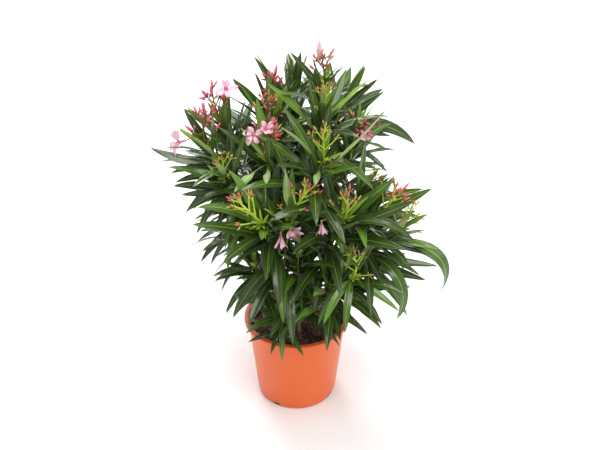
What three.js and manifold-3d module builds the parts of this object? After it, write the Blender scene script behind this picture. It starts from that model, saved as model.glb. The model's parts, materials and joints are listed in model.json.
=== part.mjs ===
// A potted oleander: a many-stemmed flowering shrub in a round plastic nursery pot.
// Millimetres, +Z up, seen from -Y. The origin is the centre of the pot's flat underside.
import * as THREE from 'three';
import { mergeVertices } from 'three/addons/utils/BufferGeometryUtils.js';
import Module from 'manifold-3d';

const wasm = await Module();
wasm.setup();

// Driving dimensions
const GAP = 0.3;
const LEAF_LENGTH = 132;
const LEAF_WIDTH = 0.148;
const LEAF_THICKNESS = 0.014;
const LEAF_STEPS = 50;
const SLIVER = 0.02;

const POT = {
  height: 164,
  lipRadius: 95,
  lipDepth: 7,
  wallTopRadius: 88,
  baseRadius: 71,
  wall: 1.8,
  floor: 2.5,
  edge: 3,
  rounding: 1.5,
  sides: 36,
  holes: 4,
  holeTurn: -32,
  holeWidth: 11,
  holeHeight: 4,
  holeDepth: 13,
};

// The compost's surface: its height, how far it sinks at the wall, and the radius of its level middle
const SOIL = { top: 147, settling: 5, shoulder: 8, level: 66 };

// How a shoot's whorls change from the young one at its tip down to the oldest
const WHORL = {
  leaves: 3,
  twist: 60,
  first: 6,
  step: 15,
  widening: 1.3,
  spread: [17, 28, 39, 50, 60, 70, 78, 85, 90],
  length: [0.5, 0.78, 0.95, 1.02, 1.0, 0.97, 0.92, 0.86, 0.8],
  sag: [0.05, 0.1, 0.18, 0.28, 0.4, 0.52, 0.6, 0.66, 0.7],
};

// Cross-sections between the two pointed ends of a leaf, of a young leaf, and of a bud on its own
// stalk: [share of the length, share of the full width]
const LEAF_OUTLINE = [
  [0.3, 0.94],
  [0.66, 0.86],
];
const YOUNG_OUTLINE = [[0.46, 1]];
const BUD_OUTLINE = [[0.7, 1]];

// Stances that a leaf tries, one after the other: a turn round the shoot, a lift and a smaller size
const STANCES = [
  [0, 0],
  [13, 4],
  [-13, 4],
  [25, 9],
  [-25, 9],
  [10, -9],
  [-10, -9],
  [6, 18],
  [0, 0, 0.8],
  [20, 0, 0.8],
  [-20, 0, 0.8],
];

// What a limb has unless its own row says otherwise: rise is how far it goes straight on before it
// arches over, as a share of the way to its tip, leaf the size of its leaves, bloom the height of its
// flower head in millimetres, and open how many of its flowers are open
const USUAL = { rise: 0.45, whorls: 7, leaf: 1, bloom: 0, open: 0 };

// Stems rise from the soil: foot is where they leave it, tip the end of their own shoot
const STEMS = [
  {
    name: 'left', foot: [-42, 2], tip: [-117, -10, 546], rise: 0.5, whorls: 8, leaf: 0.88, bloom: 50, open: 1,
  },
  { name: 'front_left', foot: [-24, -38], tip: [-54, -125, 437], rise: 0.66, bloom: 46 },
  { name: 'centre', foot: [10, -14], tip: [40, -95, 532], rise: 0.66, whorls: 8, bloom: 34 },
  { name: 'front_right', foot: [35, -37], tip: [76, -99, 429], rise: 0.6, whorls: 8, bloom: 32 },
  { name: 'right', foot: [52, 8], tip: [101, 20, 524], rise: 0.5, whorls: 8, leaf: 0.78, bloom: 36 },
  { name: 'crown', foot: [14, 32], tip: [45, 50, 603], rise: 0.5, whorls: 8, leaf: 0.74, bloom: 76 },
  { name: 'crown_left', foot: [-28, 36], tip: [-39, 60, 562], rise: 0.5, whorls: 8, bloom: 30 },
  { name: 'low_front_left', foot: [-56, -26], tip: [-72, -62, 315], rise: 0.6, whorls: 6, leaf: 0.8 },
  { name: 'low_centre', foot: [4, -46], tip: [2, -78, 350], rise: 0.6, leaf: 0.86 },
  { name: 'low_middle', foot: [50, -58], tip: [56, -88, 290], rise: 0.6, whorls: 5, leaf: 0.9 },
  { name: 'sucker', foot: [-20, -60], tip: [-29, -78, 226], rise: 0.6, whorls: 6, leaf: 0.5 },
];

// Boughs leave a stem at fork, a share of the way along it
const BOUGHS = [
  {
    name: 'far_left', parent: 'left', fork: 0.5, tip: [-142, -40, 529], rise: 0.4, leaf: 0.88, bloom: 40,
    open: 1,
  },
  { name: 'left_front', parent: 'left', fork: 0.36, tip: [-111, -70, 488], leaf: 0.86, bloom: 28 },
  { name: 'low_left', parent: 'left', fork: 0.17, tip: [-112, 60, 360], rise: 0.4, whorls: 6, leaf: 0.9 },
  { name: 'front', parent: 'front_left', fork: 0.22, tip: [-10, -105, 430], bloom: 50, open: 1 },
  { name: 'centre_left', parent: 'centre', fork: 0.3, tip: [-50, -50, 515], bloom: 46, open: 2 },
  { name: 'low_front_right', parent: 'front_right', fork: 0.08, tip: [94, -95, 314], rise: 0.4, whorls: 6 },
  { name: 'right_arch', parent: 'right', fork: 0.16, tip: [162, -70, 383], rise: 0.4, whorls: 6, bloom: 34 },
  { name: 'far_right', parent: 'right', fork: 0.24, tip: [131, -55, 404], whorls: 6, leaf: 0.86, bloom: 50 },
  { name: 'mid_right', parent: 'right', fork: 0.32, tip: [109, -20, 431], rise: 0.4, whorls: 6, bloom: 36 },
  { name: 'back_right', parent: 'right', fork: 0.44, tip: [104, 115, 480], leaf: 0.9 },
  { name: 'low_back', parent: 'right', fork: 0.08, tip: [110, 95, 300], rise: 0.35, whorls: 6, leaf: 0.9 },
  { name: 'crown_front', parent: 'crown', fork: 0.34, tip: [44, -5, 567], rise: 0.4, bloom: 30 },
  { name: 'crown_right', parent: 'crown', fork: 0.5, tip: [76, 60, 551] },
  { name: 'back', parent: 'crown', fork: 0.25, tip: [10, 160, 400], bloom: 36 },
  { name: 'upper', parent: 'crown_left', fork: 0.38, tip: [-44, 5, 549], rise: 0.4, leaf: 0.86, bloom: 42 },
  { name: 'crown_back', parent: 'crown_left', fork: 0.3, tip: [-1, 105, 564], bloom: 30 },
  { name: 'back_left', parent: 'crown_left', fork: 0.22, tip: [-92, 130, 430], bloom: 40, open: 1 },
];

const STEM_RADIUS = 5.6;
const ROOT_FLARE = 0.28;
const BOUGH_RADIUS = 3.9;
const SHOOT_RADIUS = 2.6;
const TIP_RADIUS = 1.7;
const SHOOT_FOOT = 12;
const ROOT_OFFSET = 0.6;
const FORK_SPREAD = 1.6;
const LIMB_SIDES = 5;
const LIMB_STEPS = 4;

const BUD_LENGTH = 32;
const BUD_WIDTH = 6;
const STALK_RADIUS = 1.2;
const FLOWER = { radius: 19, foot: 8, throat: 20, mouth: 26 };

// Leaves that stand out: the whorl and the leaf of it, where its point reaches, and how far it sags
const REACHING = [
  { limb: 'right_arch', whorl: 3, leaf: 0, tip: [247, -62, 262], sag: 1.15 },
  { limb: 'right_arch', whorl: 4, leaf: 0, tip: [178, -90, 226], sag: 0.9 },
  { limb: 'far_right', whorl: 2, leaf: 0, tip: [226, -60, 452], sag: 0.15 },
  { limb: 'crown_right', whorl: 3, leaf: 0, tip: [206, 120, 452], sag: 1 },
  { limb: 'crown_right', whorl: 1, leaf: 0, tip: [146, 108, 560], sag: 0.15 },
  { limb: 'crown_right', whorl: 0, leaf: 0, tip: [113, 92, 612], sag: 0.1 },
  { limb: 'crown_left', whorl: 1, leaf: 0, tip: [-69, 75, 636], sag: 0.1 },
  { limb: 'crown_back', whorl: 1, leaf: 0, tip: [-11, 112, 630], sag: 0.1 },
  { limb: 'far_left', whorl: 2, leaf: 0, tip: [-235, -20, 517], sag: 0.7 },
  { limb: 'left_front', whorl: 1, leaf: 0, tip: [-75, -66, 573], sag: 0.1 },
  { limb: 'centre', whorl: 1, leaf: 0, tip: [-19, -64, 608], sag: 0.15 },
  { limb: 'centre', whorl: 2, leaf: 1, tip: [130, -62, 590], sag: 0.2 },
  { limb: 'front_left', whorl: 1, leaf: 0, tip: [-150, -152, 483], sag: 0.35 },
  { limb: 'front_left', whorl: 4, leaf: 1, tip: [-28, -160, 300], sag: 0.7 },
  { limb: 'low_front_right', whorl: 1, leaf: 0, tip: [186, -66, 256], sag: 0.8 },
  { limb: 'low_front_right', whorl: 2, leaf: 1, tip: [92, -128, 200], sag: 0.8 },
  { limb: 'low_front_right', whorl: 1, leaf: 2, tip: [36, -122, 236], sag: 0.7 },
  { limb: 'sucker', whorl: 2, leaf: 0, tip: [-25, -112, 150], sag: 0.9 },
  { limb: 'low_front_left', whorl: 3, leaf: 0, tip: [-121, -64, 215], sag: 0.8 },
];

const MATERIALS = {
  pot: new THREE.MeshStandardMaterial({ color: 0xe8703f, roughness: 0.45, metalness: 0 }),
  soil: new THREE.MeshStandardMaterial({ color: 0x2e221c, roughness: 0.95, metalness: 0 }),
  bark: new THREE.MeshStandardMaterial({ color: 0x7a6a4c, roughness: 0.8, metalness: 0 }),
  foliage: new THREE.MeshStandardMaterial({ color: 0x2f5a1f, roughness: 0.5, metalness: 0 }),
};

const { degToRad, lerp, mapLinear, clamp } = THREE.MathUtils;
const vector = (x, y, z) => new THREE.Vector3(x, y, z);
const UP = vector(0, 0, 1);

// A seeded chance from 0 to 1: whole-number keys are mixed, so each leaf has its own, whatever came before
function chance(...keys) {
  let mixed = 2166136261;
  for (const key of keys) {
    mixed = Math.imul(mixed ^ key, 16777619) >>> 0;
    mixed = Math.imul(mixed ^ (mixed >>> 15), 2246822519) >>> 0;
    mixed = (mixed ^ (mixed >>> 13)) >>> 0;
  }
  return mixed / 4294967296;
}

const jitter = (amount, ...keys) => amount * (2 * chance(...keys) - 1);

// Solids

function solidOf(geometry) {
  const bare = geometry.clone();
  bare.deleteAttribute('normal');
  bare.deleteAttribute('uv');
  const merged = mergeVertices(bare, 1e-4);
  return new wasm.Manifold(
    new wasm.Mesh({
      numProp: 3,
      vertProperties: new Float32Array(merged.getAttribute('position').array),
      triVerts: new Uint32Array(merged.getIndex().array),
    }),
  );
}

// The largest closed body of a solid: cuts and joins can leave scraps
function mainBody(solid) {
  return solid.decompose().reduce((best, body) => (body.volume() > best.volume() ? body : best));
}

// A mesh stands at its own foot, with its geometry measured from there
function meshOf(name, solid, material, foot = vector(0, 0, 0)) {
  const { vertProperties, triVerts } = solid.getMesh();
  const geometry = new THREE.BufferGeometry();
  geometry.setAttribute('position', new THREE.BufferAttribute(vertProperties, 3));
  geometry.setIndex(new THREE.BufferAttribute(triVerts, 1));
  geometry.translate(-foot.x, -foot.y, -foot.z);
  geometry.computeVertexNormals();
  const mesh = new THREE.Mesh(geometry, material);
  mesh.name = name;
  mesh.position.copy(foot);
  return mesh;
}

// Moves every vertex of a geometry to where put(x, y, z) says
function reshape(geometry, put) {
  const position = geometry.getAttribute('position');
  for (let i = 0; i < position.count; i++) {
    const p = put(position.getX(i), position.getY(i), position.getZ(i));
    position.setXYZ(i, p.x, p.y, p.z);
  }
  return geometry;
}

function latheSolid(profile) {
  const points = profile.map(([r, z]) => new THREE.Vector2(r, z));
  return solidOf(new THREE.LatheGeometry(points, POT.sides).rotateX(Math.PI / 2));
}

// Pot: a tapered nursery container with a rolled lip and drainage holes at the corner of its floor

function potSolid() {
  const { height, lipRadius, lipDepth, wallTopRadius, baseRadius, wall, floor, edge, rounding } = POT;
  const lipFoot = height - lipDepth;
  const body = latheSolid([
    [0, 0],
    [baseRadius - edge, 0],
    [baseRadius, edge],
    [wallTopRadius, lipFoot],
    [lipRadius - rounding / 2, lipFoot + rounding / 3],
    [lipRadius, lipFoot + rounding],
    [lipRadius, height - rounding],
    [lipRadius - rounding, height],
    [wallTopRadius - 0.5, height],
    [wallTopRadius - wall, height - rounding],
    [wallTopRadius - wall, lipFoot],
    [baseRadius - wall, floor + edge],
    [baseRadius - wall - edge, floor],
    [0, floor],
  ]);
  const holes = [];
  for (let i = 0; i < POT.holes; i++) {
    const hole = new THREE.BoxGeometry(POT.holeWidth, 2 * POT.holeDepth, 2 * POT.holeHeight);
    hole.translate(0, -baseRadius, 0).rotateZ(degToRad(POT.holeTurn + (360 / POT.holes) * i));
    holes.push(solidOf(hole));
  }
  return mainBody(body.subtract(wasm.Manifold.union(holes)));
}

// Compost fills the pot from its floor to a little below the lip, and has settled at the wall
function soilSolid() {
  const { height, lipDepth, wallTopRadius, baseRadius, wall, floor, edge } = POT;
  const innerRadius = (z) =>
    mapLinear(z, floor + edge, height - lipDepth, baseRadius, wallTopRadius) - wall - 2 * GAP;
  const settled = SOIL.top - SOIL.settling;
  return latheSolid([
    [0, floor + GAP],
    [innerRadius(floor + edge) - edge, floor + GAP],
    [innerRadius(floor + edge), floor + edge + GAP],
    [innerRadius(settled), settled],
    [innerRadius(settled) - SOIL.shoulder, SOIL.top - 0.3 * SOIL.settling],
    [SOIL.level, SOIL.top],
    [0, SOIL.top],
  ]);
}

// Limbs

// Arching line of a limb: it sets off straight along start, then bends over to its tip
function limbCurve(from, start, tip, rise) {
  const control = from.clone().addScaledVector(start, rise * from.distanceTo(tip));
  return new THREE.QuadraticBezierCurve3(from, control, tip);
}

// The point at t along a curve, with three square directions: along it, and two across it
function frameAt(curve, t) {
  const along = curve.getTangent(t);
  const side = vector(1, 0, 0).addScaledVector(along, -along.x).normalize();
  const front = side.clone().cross(along);
  return { point: curve.getPoint(t), along, side, front };
}

// A cylinder laid along part of a curve, with its own radius at each ring
function tubeSolid(curve, from, to, radiusAt, sides, steps) {
  return solidOf(reshape(new THREE.CylinderGeometry(1, 1, 1, sides, steps), (x, y, z) => {
    const share = y + 0.5;
    const { point, side, front } = frameAt(curve, lerp(from, to, share));
    const radius = radiusAt(share);
    return point.addScaledVector(side, x * radius).addScaledVector(front, z * radius);
  }));
}

// Millimetres of curve for each whole step of its t, at its tip
const tipSpeed = (curve) => 2 * curve.v2.distanceTo(curve.v1);
const backFromTip = (curve, distance) => 1 - distance / tipSpeed(curve);
const whorlBack = (limb, k) => limb.leaf * (WHORL.first + WHORL.step * k + WHORL.widening * k * k);

// A bough sets off between its stem's own line and the straight way to its tip
function forkHeading(parent, fork, from, tip) {
  const way = tip.clone().sub(from).normalize();
  return parent.curve.getTangent(fork).addScaledVector(way, FORK_SPREAD).normalize();
}

function limbRadius(limb) {
  const base = limb.parent ? BOUGH_RADIUS : STEM_RADIUS * limb.leaf;
  const flare = limb.parent ? 0 : ROOT_FLARE;
  const end = SHOOT_RADIUS * Math.sqrt(limb.leaf);
  return (share) => lerp(base, end, share) * (1 + flare * (1 - share) ** 12);
}

// A limb ends where its mass of leaves begins. A bough is cut clear of the stem that carries it.
function growLimb(row, index, grown) {
  const limb = { ...USUAL, ...row, index };
  const parent = grown.get(limb.parent);
  const tip = vector(...limb.tip);
  const from = parent ? parent.curve.getPoint(limb.fork) : vector(...limb.foot, SOIL.top + GAP);
  const start = parent ? forkHeading(parent, limb.fork, from, tip) : UP;
  limb.curve = limbCurve(from, start, tip, limb.rise);
  limb.bare = backFromTip(limb.curve, whorlBack(limb, limb.whorls - 1) + SHOOT_FOOT * limb.leaf);
  limb.radiusAt = limbRadius(limb);
  limb.solid = tubeSolid(limb.curve, 0, limb.bare, limb.radiusAt, LIMB_SIDES, LIMB_STEPS);
  if (parent) {
    const clear = (share) => parent.radiusAt(share) + 1.2 * GAP;
    const sleeve = tubeSolid(parent.curve, 0, parent.bare, clear, LIMB_SIDES, LIMB_STEPS);
    limb.solid = mainBody(limb.solid.subtract(sleeve));
  }
  grown.set(limb.name, limb);
}

// The three-sided shoot inside a mass goes on from its limb's end
function shootSolid(limb) {
  const size = 1.25 * Math.sqrt(limb.leaf);
  const start = limb.bare + (1.5 * GAP) / tipSpeed(limb.curve);
  return tubeSolid(limb.curve, start, 1, (share) => size * lerp(SHOOT_RADIUS, TIP_RADIUS, share), 3, 4);
}

// Leaves

// A closed three-sided body with a point at either end and a cross-section at each ring between them
function spindleSolid(root, rings, tip) {
  const bands = rings.length + 1;
  return solidOf(reshape(new THREE.SphereGeometry(1, 3, bands), (x, y, z) => {
    const band = bands - Math.round((Math.acos(clamp(y, -1, 1)) / Math.PI) * bands);
    if (band === 0) return root.clone();
    if (band === bands) return tip.clone();
    const { point, across, above, wide, deep } = rings[band - 1];
    const full = 1 / Math.sqrt(1 - y * y);
    return point.clone()
      .addScaledVector(across, (-z * full * wide) / Math.sqrt(3))
      .addScaledVector(above, ((x * full - 0.5) / 1.5) * deep);
  }));
}

// How a leaf sets off by the whorl rule: its heading, its length and how far it sags
function leafHabit(limb, k, j, frame, turn, lift) {
  const key = [limb.index, k, j];
  const round = 360 * chance(limb.index, 77) + (360 / WHORL.leaves) * j + WHORL.twist * (k % 2);
  const azimuth = degToRad(round + jitter(10, ...key, 1) + turn);
  const spread = degToRad(WHORL.spread[k] + jitter(7, ...key, 2) - lift);
  const radial = frame.side.clone().multiplyScalar(Math.cos(azimuth))
    .addScaledVector(frame.front, Math.sin(azimuth));
  return {
    heading: frame.along.clone().multiplyScalar(Math.cos(spread)).addScaledVector(radial, Math.sin(spread)),
    length: LEAF_LENGTH * limb.leaf * WHORL.length[k] * (1 + jitter(0.09, ...key, 3)),
    sag: WHORL.sag[k] * (1 + jitter(0.5, ...key, 4)),
  };
}

// How a leaf that stands out sets off, so that its point comes where its row says
function reachingHabit({ tip, sag }, frame, turn) {
  const way = vector(...tip).sub(frame.point);
  const heading = way.clone().normalize().addScaledVector(UP, sag).normalize();
  heading.applyAxisAngle(UP, degToRad(turn / 2));
  return { heading, length: way.length() * (1 + 0.09 * sag * sag), sag };
}

// Where one leaf stands: its midrib as points from root to tip, and its width's direction at each
function leafLine(limb, k, j, [turn, lift, shrink = 1]) {
  const frame = frameAt(limb.curve, backFromTip(limb.curve, whorlBack(limb, k)));
  const row = REACHING.find((one) => one.limb === limb.name && one.whorl === k && one.leaf === j);
  const habit = row ? reachingHabit(row, frame, turn) : leafHabit(limb, k, j, frame, turn, lift);
  const { heading, sag } = habit;
  const length = habit.length * shrink;
  const outward = heading.clone().projectOnPlane(frame.along).normalize();
  const facing = frame.along.clone().addScaledVector(UP, 0.5);
  const points = [frame.point.addScaledVector(outward, ROOT_OFFSET)];
  const across = [];
  for (let i = 0; i <= LEAF_STEPS; i++) {
    const bent = heading.clone().addScaledVector(UP, (-2 * sag * i) / LEAF_STEPS).normalize();
    across.push(bent.clone().cross(facing).normalize());
    if (i < LEAF_STEPS) points.push(points[i].clone().addScaledVector(bent, length / LEAF_STEPS));
  }
  return { points, across, length };
}

// A blade is flat above, with a keel below. It runs from share start of its midrib to its point.
function leafSolid({ points, across, length }, outline, start) {
  const rings = outline.map(([share, width]) => {
    const at = Math.round(share * LEAF_STEPS);
    const along = points[at + 1].clone().sub(points[at - 1]).normalize();
    return {
      point: points[at],
      across: across[at],
      above: across[at].clone().cross(along),
      wide: width * length * LEAF_WIDTH,
      deep: length * LEAF_THICKNESS,
    };
  });
  return spindleSolid(points[Math.round(start * LEAF_STEPS)], rings, points[LEAF_STEPS]);
}

// Flower heads

function rodSolid(from, to, radius) {
  return tubeSolid(new THREE.LineCurve3(from, to), 0, 1, (share) => radius * (1 - 0.25 * share), 3, 1);
}

// A bud and the thin stalk it sits on, in one spindle
function budSolid(from, heading, length, width) {
  const tip = from.clone().addScaledVector(heading, length);
  const { side, front } = frameAt(new THREE.LineCurve3(from, tip), 0);
  const rings = BUD_OUTLINE.map(([share, wide]) => ({
    point: from.clone().lerp(tip, share).addScaledVector(front, 0.35 * wide * width),
    across: side,
    above: front,
    wide: wide * width,
    deep: 0.85 * wide * width,
  }));
  return spindleSolid(from, rings, tip);
}

// An open flower is a shallow five-pointed funnel
function flowerSolid(from, heading) {
  const { side, front } = frameAt(new THREE.LineCurve3(from, from.clone().add(heading)), 0);
  const { radius, foot, throat, mouth } = FLOWER;
  return solidOf(reshape(new THREE.ConeGeometry(1, 1, 5, 1), (x, y, z) => {
    const far = y > 0 ? foot : x === 0 && z === 0 ? throat : mouth;
    return from.clone().addScaledVector(heading, far)
      .addScaledVector(side, -radius * x).addScaledVector(front, radius * z);
  }));
}

// A stalk goes on from the shoot's tip. Buds and open flowers spiral up it to its own end.
function bloomParts(limb) {
  if (!limb.bloom) return [];
  const { point, along, side, front } = frameAt(limb.curve, 1);
  const rise = along.clone().addScaledVector(UP, 0.6).normalize();
  const top = point.clone().addScaledVector(rise, Math.max(limb.bloom - BUD_LENGTH, 8));
  const parts = [rodSolid(point.clone().addScaledVector(along, -4), top, STALK_RADIUS)];
  const count = 3 + Math.round(limb.bloom / 16);
  for (let i = 0; i < count; i++) {
    const last = i === count - 1;
    const turn = degToRad(137.5 * i + 360 * chance(limb.index, 5));
    const radial = side.clone().multiplyScalar(Math.cos(turn)).addScaledVector(front, Math.sin(turn));
    const from = point.clone().lerp(top, last ? 0.9 : 0.25 + (0.6 * i) / count);
    const heading = rise.clone().addScaledVector(radial, last ? 0.05 : 1.2 - (0.5 * i) / count).normalize();
    const size = last ? 1 : 0.72 + 0.35 * chance(limb.index, i, 9);
    if (i > 0 && i <= limb.open) {
      const throat = from.clone().addScaledVector(heading, 1.5 * FLOWER.foot);
      parts.push(rodSolid(from, throat, 0.8 * STALK_RADIUS), flowerSolid(from, heading));
    } else parts.push(budSolid(from, heading, BUD_LENGTH * size, BUD_WIDTH * Math.sqrt(size)));
  }
  return parts;
}

// Growth

// Everything that is in place, with the mass it belongs to, its box, and what of it lies past its root
const placed = [];

function settle(owner, solid, outer = solid) {
  placed.push({ owner, solid, outer, box: solid.boundingBox() });
}

function apart(a, b) {
  return [0, 1, 2].some((i) => a.min[i] - GAP > b.max[i] || b.min[i] - GAP > a.max[i]);
}

// A mass keeps to its own space: a part is free when it keeps the gap to everything that other masses
// and limbs hold, and when its blade, past its root, crosses nothing of its own mass
function isFree(owner, solid, outer) {
  const box = solid.boundingBox();
  return placed.every((other) => apart(box, other.box) || (other.owner === owner
    ? !outer || outer.minGap(other.outer, 1) > 0.1
    : solid.minGap(other.solid, 2 * GAP) >= GAP));
}

function addPart(limb, solid, outer) {
  limb.parts.push(solid);
  settle(limb.name, solid, outer);
}

// A leaf takes the first stance in which it is free, and is left out where it finds none
function growLeaf(limb, k, j) {
  const outline = k === 0 ? YOUNG_OUTLINE : LEAF_OUTLINE;
  for (const stance of STANCES) {
    const line = leafLine(limb, k, j, stance);
    const blade = leafSolid(line, outline, 0);
    const outer = leafSolid(line, outline, 0.1);
    if (isFree(limb.name, blade, outer)) return addPart(limb, blade, outer);
  }
}

const pot = potSolid();
const soil = soilSolid();
const limbs = new Map();
[...STEMS, ...BOUGHS].forEach((row, index) => growLimb(row, index, limbs));
const shoots = [...limbs.values()];

settle('pot', pot);
settle('soil', soil);
for (const limb of shoots) {
  settle('wood', limb.solid);
  limb.parts = [];
}
for (const limb of shoots) addPart(limb, shootSolid(limb));
for (const limb of shoots) {
  bloomParts(limb).filter((part) => isFree(limb.name, part)).forEach((part) => addPart(limb, part));
}
for (let k = 0; k < WHORL.spread.length; k++) {
  for (const limb of shoots.filter((one) => k < one.whorls)) {
    for (let j = 0; j < WHORL.leaves; j++) growLeaf(limb, k, j);
  }
}

// Assembly

const container = new THREE.Group();
container.add(meshOf('pot', pot, MATERIALS.pot));
container.add(meshOf('soil', soil, MATERIALS.soil));

const plant = new THREE.Group();
for (const limb of shoots) {
  const mass = mainBody(wasm.Manifold.union(limb.parts)).simplify(SLIVER);
  const kind = limb.parent ? 'bough_' : 'stem_';
  plant.add(meshOf(kind + limb.name, limb.solid, MATERIALS.bark, limb.curve.getPoint(0)));
  plant.add(meshOf('leaves_' + limb.name, mass, MATERIALS.foliage, limb.curve.getPoint(limb.bare)));
}

const pottedOleander = new THREE.Group();
pottedOleander.add(container, plant);

export default pottedOleander;
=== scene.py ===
"""A potted oleander: a flowering shrub with whorls of long leaves, in an orange nursery pot."""
import json
import math
from types import SimpleNamespace

import bpy
import numpy as np
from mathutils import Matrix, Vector
from mathutils.bvhtree import BVHTree

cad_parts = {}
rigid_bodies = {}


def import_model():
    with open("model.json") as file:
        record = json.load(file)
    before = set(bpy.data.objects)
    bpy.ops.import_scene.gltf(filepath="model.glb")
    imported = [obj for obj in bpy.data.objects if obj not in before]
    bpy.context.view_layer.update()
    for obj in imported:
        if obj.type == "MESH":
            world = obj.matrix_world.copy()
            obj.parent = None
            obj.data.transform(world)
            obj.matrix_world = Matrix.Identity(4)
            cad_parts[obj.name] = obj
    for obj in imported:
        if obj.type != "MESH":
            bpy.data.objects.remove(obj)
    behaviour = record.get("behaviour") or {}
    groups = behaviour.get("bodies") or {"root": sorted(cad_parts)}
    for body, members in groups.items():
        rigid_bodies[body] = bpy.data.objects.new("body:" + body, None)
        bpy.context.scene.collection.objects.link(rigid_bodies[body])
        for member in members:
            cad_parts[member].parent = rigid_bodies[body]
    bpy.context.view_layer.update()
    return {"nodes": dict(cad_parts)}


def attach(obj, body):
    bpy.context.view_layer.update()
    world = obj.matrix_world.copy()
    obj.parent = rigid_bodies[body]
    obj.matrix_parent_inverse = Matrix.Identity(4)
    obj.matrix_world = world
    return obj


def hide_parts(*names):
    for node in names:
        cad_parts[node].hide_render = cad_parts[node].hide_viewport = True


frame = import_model()

# View and light
# The plant stands on a pale floor in an even studio light and is seen from above its rim,
# as a customer would look down on it from across a counter.
VIEW_TARGET = Vector((0.0059, 0.0, 0.356))
VIEW_DISTANCE = 1.712
VIEW_ELEVATION = math.radians(32.2)
VIEW_LENS = 60.0
SENSOR_WIDTH = 36.0
FLOOR_RADIUS = 60000.0
FLOOR_SIDES = 96
FLOOR_GREY = ((0.88, 0.88, 0.88), (0.9, 0.9, 0.9))
SUN_DIRECTION = (-0.25, 0.6, -1.25)
SUN_STRENGTH = 1.6
SUN_ANGLE = math.radians(40)
WORLD_STRENGTH = 0.59
LIGHTS = (
    # name, place, size, power, colour
    ("fill", (1.9, -1.2, 1.3), 1.6, 9.0, (0.98, 0.99, 1.0)),
    ("top", (-0.2, 0.3, 2.6), 1.4, 27.0, (1.0, 1.0, 1.0)),
    ("rim", (-0.7, 2.0, 1.7), 1.3, 34.0, (0.98, 0.99, 1.0)),
)


def set_up(name, data, place, heading):
    """A camera or lamp at a place, turned along its heading."""
    made = bpy.data.objects.new(name, data)
    made.location = place
    made.rotation_euler = heading.to_track_quat("-Z", "Y").to_euler()
    bpy.context.collection.objects.link(made)
    return made


camera_data = bpy.data.cameras.new("view")
camera_data.lens = VIEW_LENS
camera_data.sensor_width = SENSOR_WIDTH
back = Vector((0.0, -math.cos(VIEW_ELEVATION), math.sin(VIEW_ELEVATION)))
bpy.context.scene.camera = set_up("view", camera_data, VIEW_TARGET + VIEW_DISTANCE * back, -back)

for name, place, size, power, colour in LIGHTS:
    lamp_data = bpy.data.lights.new(name, "AREA")
    lamp_data.shape = "DISK"
    lamp_data.size = size
    lamp_data.energy = power
    lamp_data.color = colour
    set_up(name, lamp_data, place, VIEW_TARGET - Vector(place))

sun_data = bpy.data.lights.new("sun", "SUN")
sun_data.energy = SUN_STRENGTH
sun_data.angle = SUN_ANGLE
set_up("sun", sun_data, (0.0, 0.0, 0.0), Vector(SUN_DIRECTION))

world = bpy.data.worlds.new("studio")
world.use_nodes = True
sky = world.node_tree.nodes["Background"].inputs
sky["Color"].default_value = (1.0, 1.0, 1.0, 1.0)
sky["Strength"].default_value = WORLD_STRENGTH
bpy.context.scene.world = world
bpy.context.scene.view_settings.view_transform = "Standard"


class Value:
    """One shader value: arithmetic on it adds Math nodes to its material."""

    def __init__(self, sketch, socket):
        self.sketch = sketch
        self.socket = socket

    def math(self, operation, *others):
        """A Math node fed with this value and the others, in that order."""
        inputs = dict(enumerate((self, *others)))
        return self.sketch.node("ShaderNodeMath", {"operation": operation}, inputs)

    def __add__(self, other):
        return self.math("ADD", other)

    def __mul__(self, other):
        return self.math("MULTIPLY", other)

    def __sub__(self, other):
        return self.math("SUBTRACT", other)

    def __rsub__(self, other):
        return self.sketch.node("ShaderNodeMath", {"operation": "SUBTRACT"}, {0: other, 1: self})

    __radd__ = __add__
    __rmul__ = __mul__


class Sketch:
    """A material and its nodes."""

    def __init__(self, name):
        self.material = bpy.data.materials.new(name)
        self.material.use_nodes = True
        self.tree = self.material.node_tree
        self.shader = self.tree.nodes["Principled BSDF"]

    def node(self, kind, settings=None, values=None, output=0):
        """Adds a node: its settings first, then the values or links of its sockets."""
        made = self.tree.nodes.new(kind)
        for key, value in (settings or {}).items():
            setattr(made, key, value)
        for key, value in (values or {}).items():
            self.feed(made.inputs[key], value)
        return Value(self, made.outputs[output])

    def feed(self, socket, value):
        """Links a value to a socket, or sets the socket to a number or colour."""
        if isinstance(value, Value):
            self.tree.links.new(value.socket, socket)
        elif isinstance(value, (tuple, list)) and len(value) == 3 and socket.type == "RGBA":
            socket.default_value = (*value, 1.0)
        else:
            socket.default_value = value

    def place(self):
        """Where a point lies in the piece's own space, in metres."""
        return self.node("ShaderNodeTexCoord", output=3)

    def noise(self, scale, detail=3.0):
        """Cloudy value from 0 to 1 in the piece's own space."""
        return self.node("ShaderNodeTexNoise", None,
                         {"Vector": self.place(), "Scale": scale, "Detail": detail})

    def blend(self, factor, first, second):
        """Colour between two others."""
        return self.node("ShaderNodeMix", {"data_type": "RGBA"}, {0: factor, 6: first, 7: second}, 2)

    def ramp(self, value, *stops):
        """Colour along a value from 0 to 1, from stops of a place and a colour."""
        made = self.node("ShaderNodeValToRGB", None, {"Fac": value})
        elements = made.socket.node.color_ramp.elements
        for _ in stops[2:]:
            elements.new(1.0)
        for element, (place, colour) in zip(elements, stops):
            element.position, element.color = place, (*colour, 1.0)
        return made

    def bump(self, height, strength, distance):
        """A surface raised where height is great."""
        return self.node("ShaderNodeBump", None,
                         {"Height": height, "Strength": strength, "Distance": distance})

    def finish(self, **values):
        """Sets the shader's own sockets, and gives the finished material."""
        for key, value in values.items():
            self.feed(self.shader.inputs[key.replace("_", " ").title().replace("Ior", "IOR")], value)
        return self.material


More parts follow.
